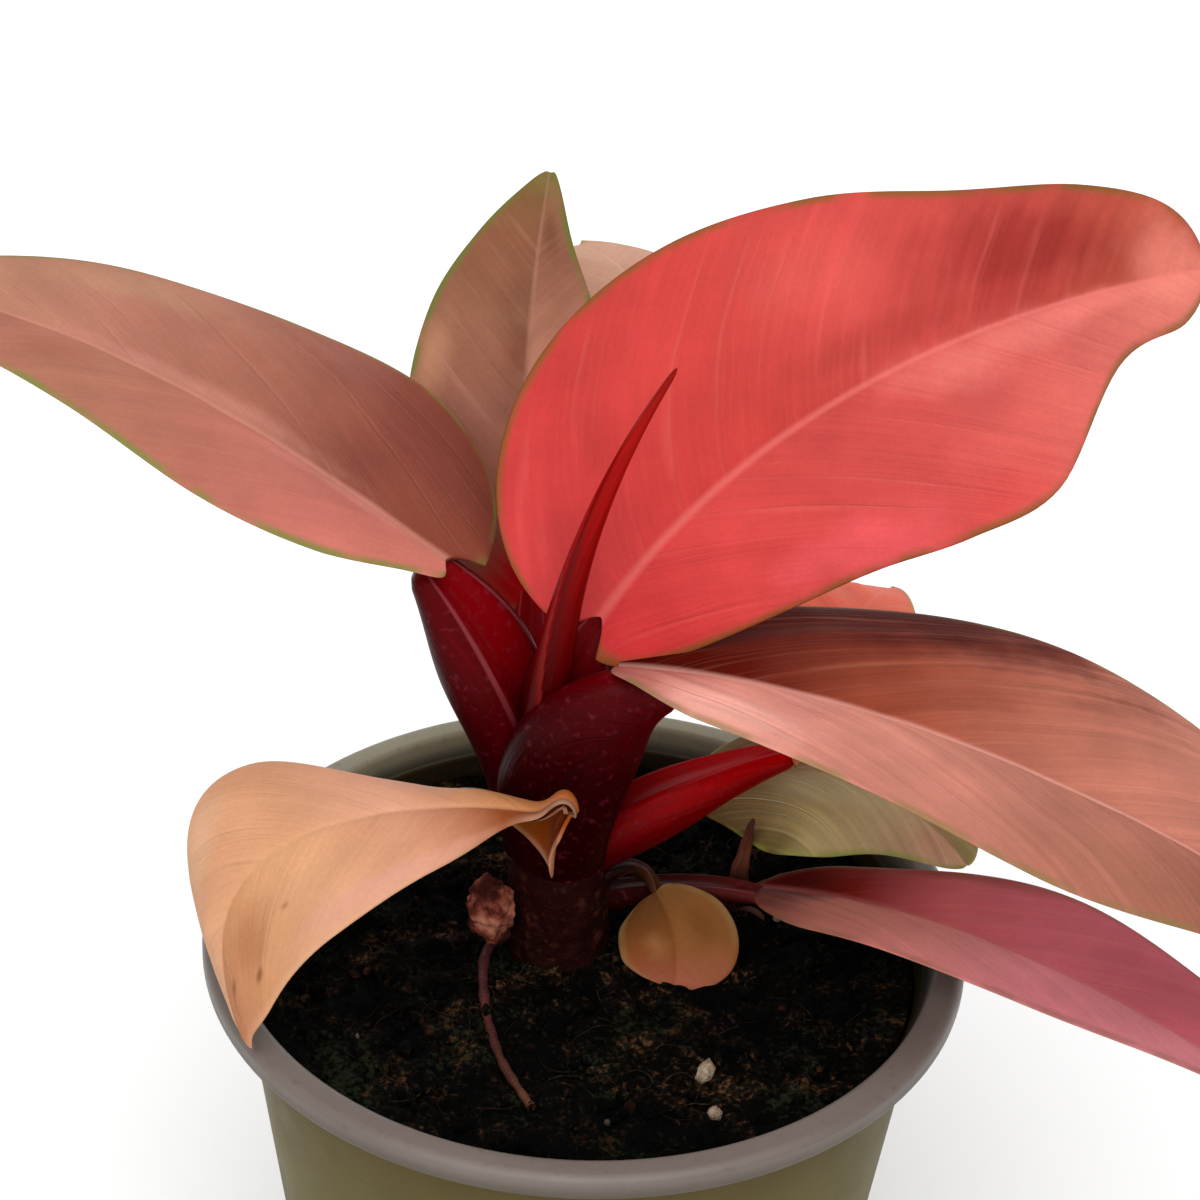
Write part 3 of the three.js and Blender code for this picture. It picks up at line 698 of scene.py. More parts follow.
def make_object(name, parts, materials, weld=0.0):
    """One smooth object from parts, with their numbers as attributes."""
    faces, slots, start = [], [], 0
    for part in parts:
        for block, slot in part.blocks:
            faces += (block + start).tolist()
            slots += [slot] * len(block)
        start += len(part.points)
    mesh = bpy.data.meshes.new(name)
    mesh.from_pydata((np.concatenate([part.points for part in parts]) * MM).tolist(), [], faces)
    mesh.polygons.foreach_set("material_index", slots)
    for field in sorted({f for part in parts for f in part.fields}):
        values = [part.fields.get(field, np.zeros(len(part.points))) for part in parts]
        mesh.attributes.new(field, "FLOAT", "POINT").data.foreach_set("value", np.concatenate(values))
    if weld:
        work = bmesh.new()
        work.from_mesh(mesh)
        bmesh.ops.remove_doubles(work, verts=work.verts, dist=weld * MM)
        work.to_mesh(mesh)
        work.free()
    mesh.shade_smooth()
    for material in materials:
        mesh.materials.append(material)
    made = bpy.data.objects.new(name, mesh)
    bpy.context.scene.collection.objects.link(made)
    return made


def stand_for(made, node):
    """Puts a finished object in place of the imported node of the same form."""
    made.name = node + "_fine"
    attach(made, "root")
    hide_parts(node)


def tube(centre, inner, x, y, slot, **fields):
    """Closed tube round a line of points, x across and y through it, for each ring and side."""
    ahead = unit(np.gradient(centre, axis=0))
    deep = squared(inner, ahead)
    across = np.cross(deep, ahead)
    points = centre[:, None] + deep[:, None] * y[..., None] + across[:, None] * x[..., None]
    points = np.concatenate([points.reshape(-1, 3), centre[[0, -1]]])
    rings, sides = x.shape
    side = np.arange(sides)
    beside = (side + 1) % sides
    last = (rings - 1) * sides
    first_end = rings * sides
    cap = np.stack([np.full(sides, first_end), side, beside], -1)
    far_cap = np.stack([np.full(sides, first_end + 1), last + beside, last + side], -1)
    blocks = [grid_quads(rings, sides, closed=True)[:, ::-1], cap, far_cap]
    fields = {name: np.append(np.broadcast_to(f, x.shape), [0, 0]) for name, f in fields.items()}
    return Part(points, [(block, slot) for block in blocks], **fields)


def turned(points, turn):
    """Solid from rings of points round the z axis, closed at both ends. `turn` -1 reverses its faces."""
    rows, sides = points.shape[:2]
    ring = np.arange(sides)[None]
    blocks = [grid_quads(rows, sides, closed=True), ring, ring[:, ::-1] + (rows - 1) * sides]
    return Part(points, [(block[:, ::turn], 0) for block in blocks])


def ball(subdivisions):
    """Points and faces of a ball with a radius of 1."""
    work = bmesh.new()
    bmesh.ops.create_icosphere(work, subdivisions=subdivisions, radius=1)
    points = np.array([v.co[:] for v in work.verts])
    faces = np.array([[v.index for v in f.verts] for f in work.faces])
    work.free()
    return points, faces


# Leaves

def blade_middle(leaf, u, s):
    """Points of a blade halfway through it, for each u from base to tip and s from right to left edge."""
    t = (1 - np.cos(np.pi * u)) / 2
    place, ahead = cubic(leaf["midrib"], t)
    chord = unit(np.subtract(leaf["midrib"][3], leaf["midrib"][0]).astype(float))
    t = t[:, None]
    square = leaf["straight"] * np.minimum(1, t / BASE["square"])
    ahead = unit(ahead + (chord - ahead) * square)
    up = squared(mix(np.array(leaf["up"]), t), ahead)
    side = np.cross(up, ahead)
    reach = np.abs(s)[None]
    left = s[None] > 0
    width = np.where(left, through(leaf["left"], u)[:, None], through(leaf["right"], u)[:, None])
    width = np.maximum(width, BLADE["narrowest"])
    roll = np.where(left, *leaf["roll"]) * np.exp(-((t / BASE["roll"]) ** 2))
    angle = np.radians(mix(leaf["fold"], t) + (leaf["curl"] + roll) * reach)
    swept = np.where(left, *leaf["lobes"]) * reach**1.6 * np.maximum(0, 1 - t / BASE["lobe"]) ** 2
    hump, top, spread = leaf["hump"]
    wave = hump * np.exp(-(((t - top) / spread) ** 2))
    for half, height, count, phase in leaf["waves"]:
        share = np.where(np.sign(s)[None] == half, np.minimum(1, t / BASE["wave"]), 0)
        wave = wave + share * height * reach**2 * np.sin(2 * np.pi * (count * t + phase))
    outward = width * np.cos(angle) * s[None]
    upward = width * reach * np.sin(angle) + wave
    points = place[:, None] + side[:, None] * outward[..., None]
    points = points + up[:, None] * upward[..., None] - ahead[:, None] * swept[..., None]
    return points, width


def grid_normals(points):
    """Unit normals of a grid of points. Those of the crowded end rows are taken from beside them."""
    normals = unit(np.cross(np.gradient(points, axis=0), np.gradient(points, axis=1)))
    normals[:3] = normals[3]
    normals[-3:] = normals[-4]
    return normals


def vein_lines(leaf, along, across):
    """Where on the midrib, in millimetres, the side vein through each point begins."""
    away = np.abs(across)
    lean = np.where(across > 0, *leaf["veins"])
    return along - lean * away - BLADE["vein_bend"] * away**2


def blade_part(leaf):
    """Thin closed blade: rounded edge, a rib below, a groove above and relief between the side veins."""
    u = np.linspace(0, 1, BLADE["rows"] + 1)
    half = np.array(HALF_COLUMNS)
    s = np.concatenate([-half[:0:-1], half])
    middle, width = blade_middle(leaf, u, s)
    normals = grid_normals(middle)
    across = width * s
    edge = width * (1 - np.abs(s))
    along = travelled(middle[:, len(half) - 1])
    vein = vein_lines(leaf, along, across)
    to_tip = 1 - u[:, None]
    rib_width = BLADE["rib_width"] * to_tip + BLADE["rib_tip"]
    rib = BLADE["rib"] * to_tip * np.exp(-((across / rib_width) ** 2))
    groove = BLADE["groove"] * to_tip * np.exp(-((across / BLADE["groove_width"]) ** 2))
    inside = np.clip(np.minimum(edge, np.abs(across) + 1) / BLADE["margin"], 0, 1)
    pleats = np.stack([vein / BLADE["pleat"], np.abs(across) / BLADE["pleat_length"], np.sign(across)], -1)
    quilt = rough(pleats, 1, 3) + rough(middle, BLADE["swell"], 8)
    quilt = BLADE["quilt"] * inside * quilt.reshape(edge.shape)
    thick = BLADE["thickness"] / 2 * np.sqrt(np.clip(edge / BLADE["round"], 0, 1))
    upper = middle + normals * (thick - groove + quilt)[..., None]
    lower = middle + normals * (quilt - thick - rib)[..., None]
    rows, columns = edge.shape
    count = rows * columns
    faces = grid_quads(rows, columns)
    ends = []
    for row, turn in ((0, 1), (rows - 1, -1)):
        j = row * columns + np.arange(columns - 1)
        ends.append(np.stack([j, j + 1, j + 1 + count, j + count], -1)[:, ::turn])
    blocks = [(faces, 0), (faces[:, ::-1] + count, 1), (np.concatenate(ends), 0)]
    t = (1 - np.cos(np.pi * u[:, None])) / 2
    fields = {"t": t, "s": s[None], "edge": edge, "across": across, "along": along, "vein": vein}
    doubled = {name: np.stack([np.broadcast_to(f, edge.shape)] * 2) for name, f in fields.items()}
    return Part(np.stack([upper, lower]), blocks, **doubled)


def stalk_rings(stalk, path, sides, rings, slot, relief=lambda v, turn: 1):
    """Oval tube along a cubic path, with a rounded end. `relief(v, turn)` shapes it, round from `inner`."""
    v = np.linspace(0, 1, rings + 1)
    centre, _ = cubic(path, v)
    angle = once_round(sides)
    turn = np.minimum(angle, 2 * np.pi - angle)[None]
    v = v[:, None]
    end = np.sqrt(1 - np.clip((v - 1 + STALK["end"]) / STALK["end"], 0, 0.999) ** 2)
    wide = through(stalk["wide"], v) * end
    deep = through(stalk["deep"], v) * end * relief(v, turn)
    signed = np.where(angle > np.pi, angle - 2 * np.pi, angle)[None]
    across = signed * through(stalk["wide"], v)
    fields = {"t": v, "s": turn / np.pi, "across": across, "along": travelled(centre)}
    return tube(centre, stalk["inner"], wide * np.sin(angle), deep * np.cos(angle), slot, **fields)


def stalk_part(leaf):
    """The leaf's stalk, which ends rounded under the blade. Its groove has raised hems."""
    place, ahead = cubic(leaf["midrib"], [leaf["joint"]])
    up = squared(mix(np.array(leaf["up"]), leaf["joint"]), ahead)
    path = [*leaf["path"], (place - STALK["under"] * leaf["deep"][-1] * up)[0]]

    def relief(v, turn):
        hem = STALK["hem"] * np.exp(-(((turn - STALK["hem_turn"]) / STALK["hem_width"]) ** 2))
        return 1 - mix(leaf["dent"], v) * np.exp(-((turn / STALK["groove_width"]) ** 2)) + hem

    return stalk_rings(leaf, path, STALK["sides"], STALK["rings"], 2, relief)


def make_leaf(name):
    """A blade and its stalk as one piece, as they grew."""
    leaf, look = {**PLAIN_LEAF, **LEAVES[name]}, LOOKS[name]
    materials = [
        blade_material(name + "_upper", look, look["left"], look["right"], 1),
        blade_material(name + "_under", look, look["under"], look["under"], -1),
        stalk_material(name + "_stalk", look["stalk"], look["groove"]),
    ]
    made = make_object(name, [blade_part(leaf), stalk_part(leaf)], materials, weld=1e-4)
    stand_for(made, name)


def make_new_leaf():
    """The rolled leaf: a spike whose outer edge winds round it as a low step."""
    sides, rings = NEW_LEAF["sides"], NEW_LEAF["rings"]
    part = stalk_rings(NEW_LEAF, NEW_LEAF["path"], sides, rings, 0)
    v = np.linspace(0, 1, rings + 1)
    centre, _ = cubic(NEW_LEAF["path"], v)
    wound = (once_round(sides)[None] - mix(NEW_LEAF["seam_turn"], v[:, None])) / (2 * np.pi) % 1
    points = part.points[:-2].reshape(rings + 1, sides, 3)
    points = centre[:, None] + (points - centre[:, None]) * (1 - NEW_LEAF["seam"] * wound)[..., None]
    part.points[:-2] = points.reshape(-1, 3)
    part.fields["edge"] = np.append(wound.ravel(), [0.5, 0.5])
    stand_for(make_object("new_leaf", [part], [spike_material()]), "new_leaf")


def sheath_relief(v, turn):
    """Dent down the inner side of a dry scrap, and flutes that wind round it."""
    (dent, width), (height, round_it, along_it) = DRY_SHEATH["dent"], DRY_SHEATH["flutes"]
    return 1 - dent * np.exp(-((turn / width) ** 2)) + height * np.sin(round_it * turn + along_it * v)


def make_dry_sheath():
    """A dry spike, crumpled, with torn strips round its foot."""
    sheath, strips = DRY_SHEATH, STRIPS
    spike = stalk_rings(sheath, sheath["path"], sheath["sides"], sheath["rings"], 0, sheath_relief)
    crumple = np.stack([rough(spike.points, sheath["crumple_size"], seed) for seed in (1, 2, 3)], -1)
    spike.points = spike.points + sheath["crumple"] * crumple
    parts = [spike]
    random = np.random.default_rng(5)
    for turn in strips["turns"]:
        outward = np.array([math.cos(turn), math.sin(turn), 0])
        foot = np.array(strips["foot"]) + outward * strips["apart"]
        tip = foot + outward * random.uniform(*strips["reach"]) + (0, 0, random.uniform(*strips["rise"]))
        path = [foot, foot + (0, 0, strips["arch"][0]), tip + (0, 0, strips["arch"][1]), tip]
        parts.append(stalk_rings(strips, path, strips["sides"], strips["rings"], 0, sheath_relief))
    stand_for(make_object("dry_sheath", parts, [dry_material()]), "dry_sheath")


# Stem, soil and pot

def plain_tube(path_points, radius, sides, slot, inner=(0, 0, 1), **fields):
    """Round tube along a line of points, with one radius or a radius for each."""
    angle = once_round(sides)
    reach = np.broadcast_to(radius, (len(path_points), 1))
    return tube(path_points, inner, reach * np.sin(angle), reach * np.cos(angle), slot, **fields)


def spline(points, rings):
    """Smooth line through points, at equal steps."""
    v = np.linspace(0, 1, rings + 1)
    return np.stack([through(list(axis), v) for axis in zip(*points)], -1)


def stub_part():
    """Stub of a fallen leaf's stalk, as a lumpy stone."""
    points, faces = ball(5)
    points = points * (STUB["radius"] - STUB["lumps"] / 2) * (1, 1, STUB["tall"])
    lumps = layered(points, STUB["lump_layers"])[:, None]
    return Part(points + unit(points) * STUB["lumps"] * lumps + STUB["at"], [(faces, 2)])


def trunk_part():
    """The stem itself, with leaf scars and rough bark."""
    v = np.linspace(0, 1, STEM["rings"] + 1)
    centre, _ = cubic(STEM["path"], v)
    scar = STEM["scar"] * np.abs(np.sin(np.pi * STEM["scars"] * v)) ** 0.5
    radius, v = (through(STEM["radii"], v) + scar)[:, None], v[:, None]
    trunk = plain_tube(centre, radius, STEM["sides"], 0, (0, -1, 0), t=v, along=v * STEM["length"])
    outward = unit(trunk.points[:-2] - np.repeat(centre, STEM["sides"], 0))
    bark = layered(trunk.points[:-2], STEM["bark_layers"])
    trunk.points[:-2] += outward * STEM["bark"] * bark[:, None]
    return trunk


def root_part():
    """Thin aerial root with knobs, which runs over the soil."""
    line = spline(ROOT["path"], ROOT["rings"])
    along = np.linspace(0, 1, ROOT["rings"] + 1)[:, None]
    first, second = ROOT["knob_waves"]
    knobs = ROOT["knobs"] * np.sin(along * first) * np.sin(along * second)
    thick = ROOT["radius"] * (1 - ROOT["taper"] * along) + knobs
    return plain_tube(line, thick, ROOT["sides"], 1, t=along, along=along * ROOT["length"])


def make_stem():
    """The stem with its stub and aerial root, as one piece."""
    parts = [trunk_part(), root_part(), stub_part()]
    made = make_object("stem", parts, [bark_material(), root_material(), stub_material()])
    stand_for(made, "stem")


def inside_radius(z):
    """Radius of the pot's inner wall at a height."""
    slope = (POT["wall_top"] - POT["foot_radius"]) / (POT["height"] - POT["lip_drop"])
    return POT["foot_radius"] - POT["wall"] + slope * z


def soil_top(x, y):
    """Height of the mix with its swells, which are those of the packed soil."""
    coarse = np.sin(0.21 * x + 1.3) * np.cos(0.17 * y - 0.6)
    fine = np.sin(0.47 * x - 0.33 * y) * np.cos(0.39 * y + 0.24 * x)
    return SOIL["level"] + SOIL["relief"] * (coarse + 0.7 * fine)


def beside_clear(x, y):
    """1 in the middle of the circle that is kept clear, and 0 well outside it."""
    cx, cy, radius = SOIL["clear"]
    return np.clip(2 - SOIL["clear_slope"] * np.hypot(x - cx, y - cy) / radius, 0, 1)


def soil_ground(rim):
    """The body of the mix: a rough top, a side that follows the pot and a flat foot."""
    sides, rings, middle = SOIL["sides"], SOIL["rings"], SOIL["middle"]
    angle = once_round(sides)
    share = np.linspace(middle, 1, rings)[:, None]
    x, y = rim * share * np.cos(angle), rim * share * np.sin(angle)
    points = np.stack([x, y, soil_top(x, y)], -1)
    lumps = layered(points, SOIL["lumps"]).reshape(rings, sides)
    inset = np.clip((1 - share) * SOIL["rim_slope"], 0, 1)
    points[..., 2] += lumps * inset - SOIL["sink"]["ground"] * beside_clear(x, y)
    bottom = POT["floor"] + POT["channel_rise"] + SOIL["gap"]
    walls = []
    for level, share in ((bottom + POT["foot_round"], 1), (bottom, 0.98), (bottom, middle)):
        ring = (inside_radius(level) - SOIL["gap"]) * share
        walls.append(np.stack([ring * np.cos(angle), ring * np.sin(angle), np.full(sides, level)], -1))
    return turned(np.concatenate([points, np.stack(walls)]), 1)


def soil_crumbs(rim, random):
    """Loose crumbs, chips of bark and pale grains, each a rough stone of its own shape."""
    stone, faces = ball(1)
    crumbs, grains = SOIL["crumbs"], SOIL["crumbs"] + SOIL["chips"]
    count = grains + len(SOIL["grains"])
    size = SOIL["crumb"][0] + (SOIL["crumb"][1] - SOIL["crumb"][0]) * random.random(count) ** 3
    size[crumbs:] = random.uniform(*SOIL["chip"], count - crumbs)
    away = (rim - SOIL["from_rim"]) * np.sqrt(random.random(count))
    turn = random.random(count) * 2 * np.pi
    x, y = away * np.cos(turn), away * np.sin(turn)
    x[grains:], y[grains:], size[grains:] = zip(*SOIL["grains"])
    sink = SOIL["sink"]["crumbs"] * beside_clear(x, y)
    centre = np.stack([x, y, soil_top(x, y) + size * SOIL["stand"] - sink], -1)
    spin = np.linalg.qr(random.normal(size=(count, 3, 3)))[0]
    stretch = random.uniform(*SOIL["stretch"], (count, 1, 3))
    bumps = random.uniform(*SOIL["bumps"], (count, len(stone), 1))
    points = np.einsum("nij,nvj->nvi", spin, stone * bumps * stretch) * size[:, None, None]
    rows = np.arange(count)[:, None, None] * len(stone) + faces[None]
    groups = [(rows[:crumbs], 0), (rows[crumbs:grains], 1), (rows[grains:], 2)]
    return Part(points + centre[:, None], [(block.reshape(-1, 3), slot) for block, slot in groups])


def soil_fibre(rim, random):
    """One fine root or peat fibre that lies on the mix."""
    count = FIBRE["points"]
    turn, away = random.random() * 2 * np.pi, (rim - FIBRE["start_from_rim"]) * np.sqrt(random.random())
    start = np.array([away * math.cos(turn), away * math.sin(turn)])
    heading, bend = random.random() * 2 * np.pi, random.normal() * FIBRE["bend"]
    step = random.uniform(*FIBRE["step"])
    headings = heading + bend * np.arange(count) + random.normal(0, FIBRE["waver"], count)
    flat = start + np.cumsum(step * np.stack([np.cos(headings), np.sin(headings)], -1), axis=0)
    flat *= np.minimum(1, (rim - FIBRE["from_rim"]) / np.linalg.norm(flat, axis=-1, keepdims=True))
    arch = np.abs(random.normal(0, FIBRE["arch"])) * np.sin(np.linspace(0, np.pi, count))
    x, y = flat.T
    height = soil_top(x, y) - SOIL["sink"]["fibres"] * beside_clear(x, y) + (FIBRE["lift"] + arch)
    line = np.column_stack([flat, height])
    return plain_tube(line, random.uniform(*FIBRE["radius"]), FIBRE["sides"], 3, (0.1, 0.2, 1))


def make_soil():
    """The mix with all that lies on it, just inside the flats of the packed soil."""
    random = np.random.default_rng(11)
    rim = (inside_radius(SOIL["level"]) - SOIL["gap"]) * math.cos(math.pi / SOIL["facets"])
    parts = [soil_ground(rim), soil_crumbs(rim, random)]
    parts += [soil_fibre(rim, random) for _ in range(FIBRE["count"])]
    materials = [
        earth_material("soil_mix", [0x000000, 0x020100, 0x060402, 0x1a1009, 0x503620], 0.45),
        earth_material("soil_chips", [0x180c06, 0x341c10, 0x5c3824]),
        earth_material("soil_grains", [0x5c4c3e, 0x84725f, 0x9c8c7a]),
        earth_material("soil_fibres", [0x140e08, 0x241a10, 0x3c2e20]),
    ]
    stand_for(make_object("soil", parts, materials), "soil")


def arc(r, z, size, start, end, steps=6):
    """Points of a profile round (r, z), between two turns in degrees."""
    turns = np.radians(np.linspace(start, end, steps))
    return [(r + size * math.cos(a), z + size * math.sin(a)) for a in turns]


def pot_profile():
    """Half section of the pot: out along its foot, up the outside, over the lip and down the inside."""
    p = POT
    under = p["height"] - p["lip_drop"]
    neck = under - p["neck_drop"]
    inside = p["floor"] + p["channel_rise"]
    lip, mouth, foot = p["lip_round"], p["mouth_round"], p["foot_round"]
    edge, fillet = p["lip_edge"], p["lip_fillet"]
    points = [(AXIS, 0), (p["channel_inner"], 0)]
    points += [(p["channel_inner"] + p["channel_rise"], p["channel_rise"])]
    points += [(p["channel_outer"] - p["channel_rise"], p["channel_rise"]), (p["channel_outer"], 0)]
    points += arc(p["foot_radius"] - foot, foot, foot, -90, 0)
    for share in np.linspace(0.04, 0.985, p["wall_rings"]):
        radius = mix((p["foot_radius"], p["wall_top"]), share)
        band = p["band"] if p["band_span"][0] < share < p["band_span"][1] else 0
        points.append((radius + band, mix((foot, under), share)))
    points += arc(p["wall_top"] + fillet, under - fillet, fillet, 180, 90, 4)
    points += arc(p["lip_radius"] - edge, under + edge, edge, -90, 0)
    points += arc(p["lip_radius"] - lip, p["height"] - lip, lip, 0, 90, 8)
    points += arc(p["mouth_radius"] + mouth, p["height"] - mouth, mouth, 90, 180)
    wider, higher = p["mouth_step"]
    points += [(inside_radius(neck + higher) + wider, neck + higher), (inside_radius(neck), neck)]
    points += [(inside_radius(z), z) for z in np.linspace(neck - 1, inside + foot, 12)]
    points += [(inside_radius(inside) - foot, inside), (AXIS, inside)]
    return np.array(points)


def drain_drills():
    """Upright rods through the raised channel of the pot's foot, where its drainage holes are."""
    drills = []
    ring = (POT["channel_inner"] + POT["channel_outer"]) / 2
    for i in range(POT["drains"]):
        turn = (i + 0.5) / POT["drains"] * 2 * math.pi
        line = np.array([(ring * math.cos(turn), ring * math.sin(turn), level) for level in (-6.0, 12.0)])
        drills.append(plain_tube(line, POT["drain_radius"], POT["drain_sides"], 0, (0, 1, 0)))
    return drills


def make_pot():
    """The pot, turned from its profile, with round drainage holes cut through the raised channel."""
    angle = once_round(POT["sides"])
    r, z = pot_profile().T[..., None]
    points = np.stack([r * np.cos(angle), r * np.sin(angle), z + 0 * angle], -1)
    pot = make_object("pot", [turned(points, -1)], [pot_material()])
    drill = make_object("drill", drain_drills(), [])
    cut = pot.modifiers.new("drains", "BOOLEAN")
    cut.object = drill
    cut.operation = "DIFFERENCE"
    solved = pot.evaluated_get(bpy.context.evaluated_depsgraph_get())
    holed = bpy.data.meshes.new_from_object(solved)
    pot.modifiers.clear()
    pot.data = holed
    bpy.data.objects.remove(drill)
    holed.set_sharp_from_angle(angle=math.radians(POT["crease"]))
    stand_for(pot, "pot")


# Materials

def rgb(colour):
    """Linear colour of a surface that looks like this sRGB number in the scene's light."""
    channels = [(colour >> shift & 255) / 255 for shift in (16, 8, 0)]
    linear = [c / 12.92 if c <= 0.04045 else ((c + 0.055) / 1.055) ** 2.4 for c in channels]
    return (*(min(0.95, c / DAYLIGHT) for c in linear), 1)


class Graph:
    """A node material, made by calls that each return the socket of the node they add."""

    def __init__(self, name, roughness, specular=0.5):
        self.material = bpy.data.materials.new(name)
        self.material.use_nodes = True
        self.tree = self.material.node_tree
        self.shader = self.tree.nodes["Principled BSDF"]
        self.shader.inputs["Specular IOR Level"].default_value = specular
        self.roughness = roughness

    def add(self, kind, inputs, output=0, **settings):
        """Adds a node whose inputs are sockets or plain values, and returns one of its outputs."""
        node = self.tree.nodes.new("ShaderNode" + kind)
        for name, value in settings.items():
            setattr(node, name, value)
        for key, value in inputs.items():
            if isinstance(value, bpy.types.NodeSocket):
                self.tree.links.new(value, node.inputs[key])
            else:
                node.inputs[key].default_value = value
        return node.outputs[output]

    def math(self, operation, a, b=0.0):
        return self.add("Math", {0: a, 1: b}, operation=operation)

    def times(self, a, b):
        return self.math("MULTIPLY", a, b)

    def plus(self, a, b):
        return self.math("ADD", a, b)

    def minus(self, a, b):
        return self.math("SUBTRACT", a, b)

    def linear(self, value, slope, start):
        return self.add("Math", {0: value, 1: slope, 2: start}, operation="MULTIPLY_ADD")

    def field(self, name):
        return self.add("Attribute", {}, "Fac", attribute_name=name)

    def place(self):
        return self.add("TexCoord", {}, "Object")

    def noise(self, size, detail=2.0, at=None):
        """Noise with features of about `size` millimetres, in the object's place or at another vector."""
        scale = 1 / size if at else 1 / (size * MM)
        return self.add("TexNoise", {"Vector": at or self.place(), "Scale": scale, "Detail": detail})

    def streaks(self, across, along, size, stretch):
        """Noise stretched along a direction, from two fields in millimetres."""
        flat = self.add("CombineXYZ", {0: across, 1: self.times(along, 1 / stretch)})
        return self.noise(size, 3, flat)

    def band(self, value, low, high):
        """0 at low, 1 at high and smooth between."""
        return self.add("MapRange", {0: value, 1: low, 2: high}, interpolation_type="SMOOTHSTEP")

    def ramp(self, value, colours):
        """Runs through colours at equal steps, from 0 to 1."""
        ramp = self.add("ValToRGB", {0: value})
        stops = ramp.node.color_ramp.elements
        for i, colour in enumerate(colours):
            stop = stops[i] if i < 2 else stops.new(1)
            stop.position = i / (len(colours) - 1)
            stop.color = rgb(colour)
        return ramp

    def mix(self, share, a, b, blend="MIX"):
        """Mixes two colours, which are inputs 6 and 7 and output 2 of the node."""
        return self.add("Mix", {0: share, 6: a, 7: b}, 2, data_type="RGBA", blend_type=blend)

    def tint(self, colour, number, mask, share):
        """Lays another colour, an sRGB number, over one where a mask is 1, up to a share."""
        return self.mix(self.times(mask, share), colour, rgb(number))

    def shade(self, colour, value, amount):
        """Makes a colour up to `amount` darker or lighter by a value from 0 to 1 around its middle."""
        light = self.linear(value, 2 * amount, 1 - amount)
        return self.mix(1.0, colour, self.add("CombineXYZ", {0: light, 1: light, 2: light}), "MULTIPLY")

    def finish(self, colour, height, depth, rough_by, rough_amount=0.12):
        """Connects the colour, a height in steps of `depth` millimetres and a slightly varied roughness."""
        self.tree.links.new(colour, self.shader.inputs["Base Color"])
        bump = self.add("Bump", {"Height": height, "Distance": depth * MM, "Strength": 1.0})
        self.tree.links.new(bump, self.shader.inputs["Normal"])
        roughness = self.linear(rough_by, rough_amount, self.roughness - rough_amount / 2)
        self.tree.links.new(roughness, self.shader.inputs["Roughness"])
        return self.material


def patched(g, colour, t, s, fold_shade, patches):
    """Lays soft ovals of colour over a blade, each with an edge that wavers and follows the painted fold
    shade.
    """
    waver = g.times(g.plus(g.noise(7, 3), fold_shade), 0.5)
    for along, across, reach, breadth, tint, share in patches:
        behind = g.times(g.minus(t, along), 1 / reach)
        beside = g.times(g.minus(s, across), 1 / breadth)
        away = g.math("SQRT", g.plus(g.math("POWER", behind, 2.0), g.math("POWER", beside, 2.0)))
        inside = g.band(g.plus(away, g.times(waver, 1.6)), 1.8, 0.9)
        colour = g.tint(colour, tint, inside, share)
    return colour


def vein_mask(g, vein, away, edge):
    """Side veins of uneven strength and spacing, which fade at the margin."""
    wander = g.plus(vein, g.times(g.streaks(vein, away, 9, 4), 9.0))
    main = g.band(g.math("PINGPONG", wander, 3.6), 0.75, 0)
    fine = g.times(g.band(g.math("PINGPONG", wander, 0.7), 0.3, 0), 0.3)
    strong = g.band(g.streaks(vein, away, 5, 5), 0.4, 0.62)
    lines = g.times(g.math("MAXIMUM", main, fine), strong)
    return g.times(lines, g.band(edge, 0.5, 6))


def blade_material(name, look, left, right, face):
    """One face of a blade, `face` 1 above and -1 below: halves, patches, painted fold shade, veins, rib and
    margin.
    """
    g = Graph(name, 0.45, 0.035)
    shares = look["shares"]
    t, s, edge, across, vein = (g.field(f) for f in ("t", "s", "edge", "across", "vein"))
    away = g.math("ABSOLUTE", across)
    colour = g.mix(g.band(s, -0.05, 0.05), g.ramp(t, right), g.ramp(t, left))
    # Streaks along the side veins that lighten and darken the colour, as painted light and shade of folds.
    fold_shade = g.streaks(vein, away, 3.2, 7)
    if face > 0:
        colour = patched(g, colour, t, s, fold_shade, look["patches"])
    lines = g.streaks(vein, away, 0.8, 12)
    colour = g.shade(colour, g.noise(12, 4), shares["blotch"])
    colour = g.shade(colour, fold_shade, shares["fold_shade"])
    colour = g.shade(colour, lines, 0.08)
    colour = g.shade(colour, g.noise(0.6, 2), 0.08)
    veins = vein_mask(g, vein, away, edge)
    colour = g.tint(colour, look["vein"], veins, shares["veins"])
    rib_width = g.linear(t, -0.9, 1.2)
    rib = g.band(away, rib_width, g.times(rib_width, 0.1))
    colour = g.tint(colour, look["rib"], rib, shares["rib"])
    margin = g.times(g.band(edge, 1.5, 0.2), g.band(g.noise(7), 0.3, 0.6))
    colour = g.tint(colour, look["margin"], margin, shares["margin"])
    height = g.plus(g.times(veins, -0.8 * face), g.times(lines, 0.4))
    height = g.plus(height, g.times(g.noise(0.5, 2), 0.3))
    return g.finish(colour, height, 0.16, g.noise(4, 2), 0.16)


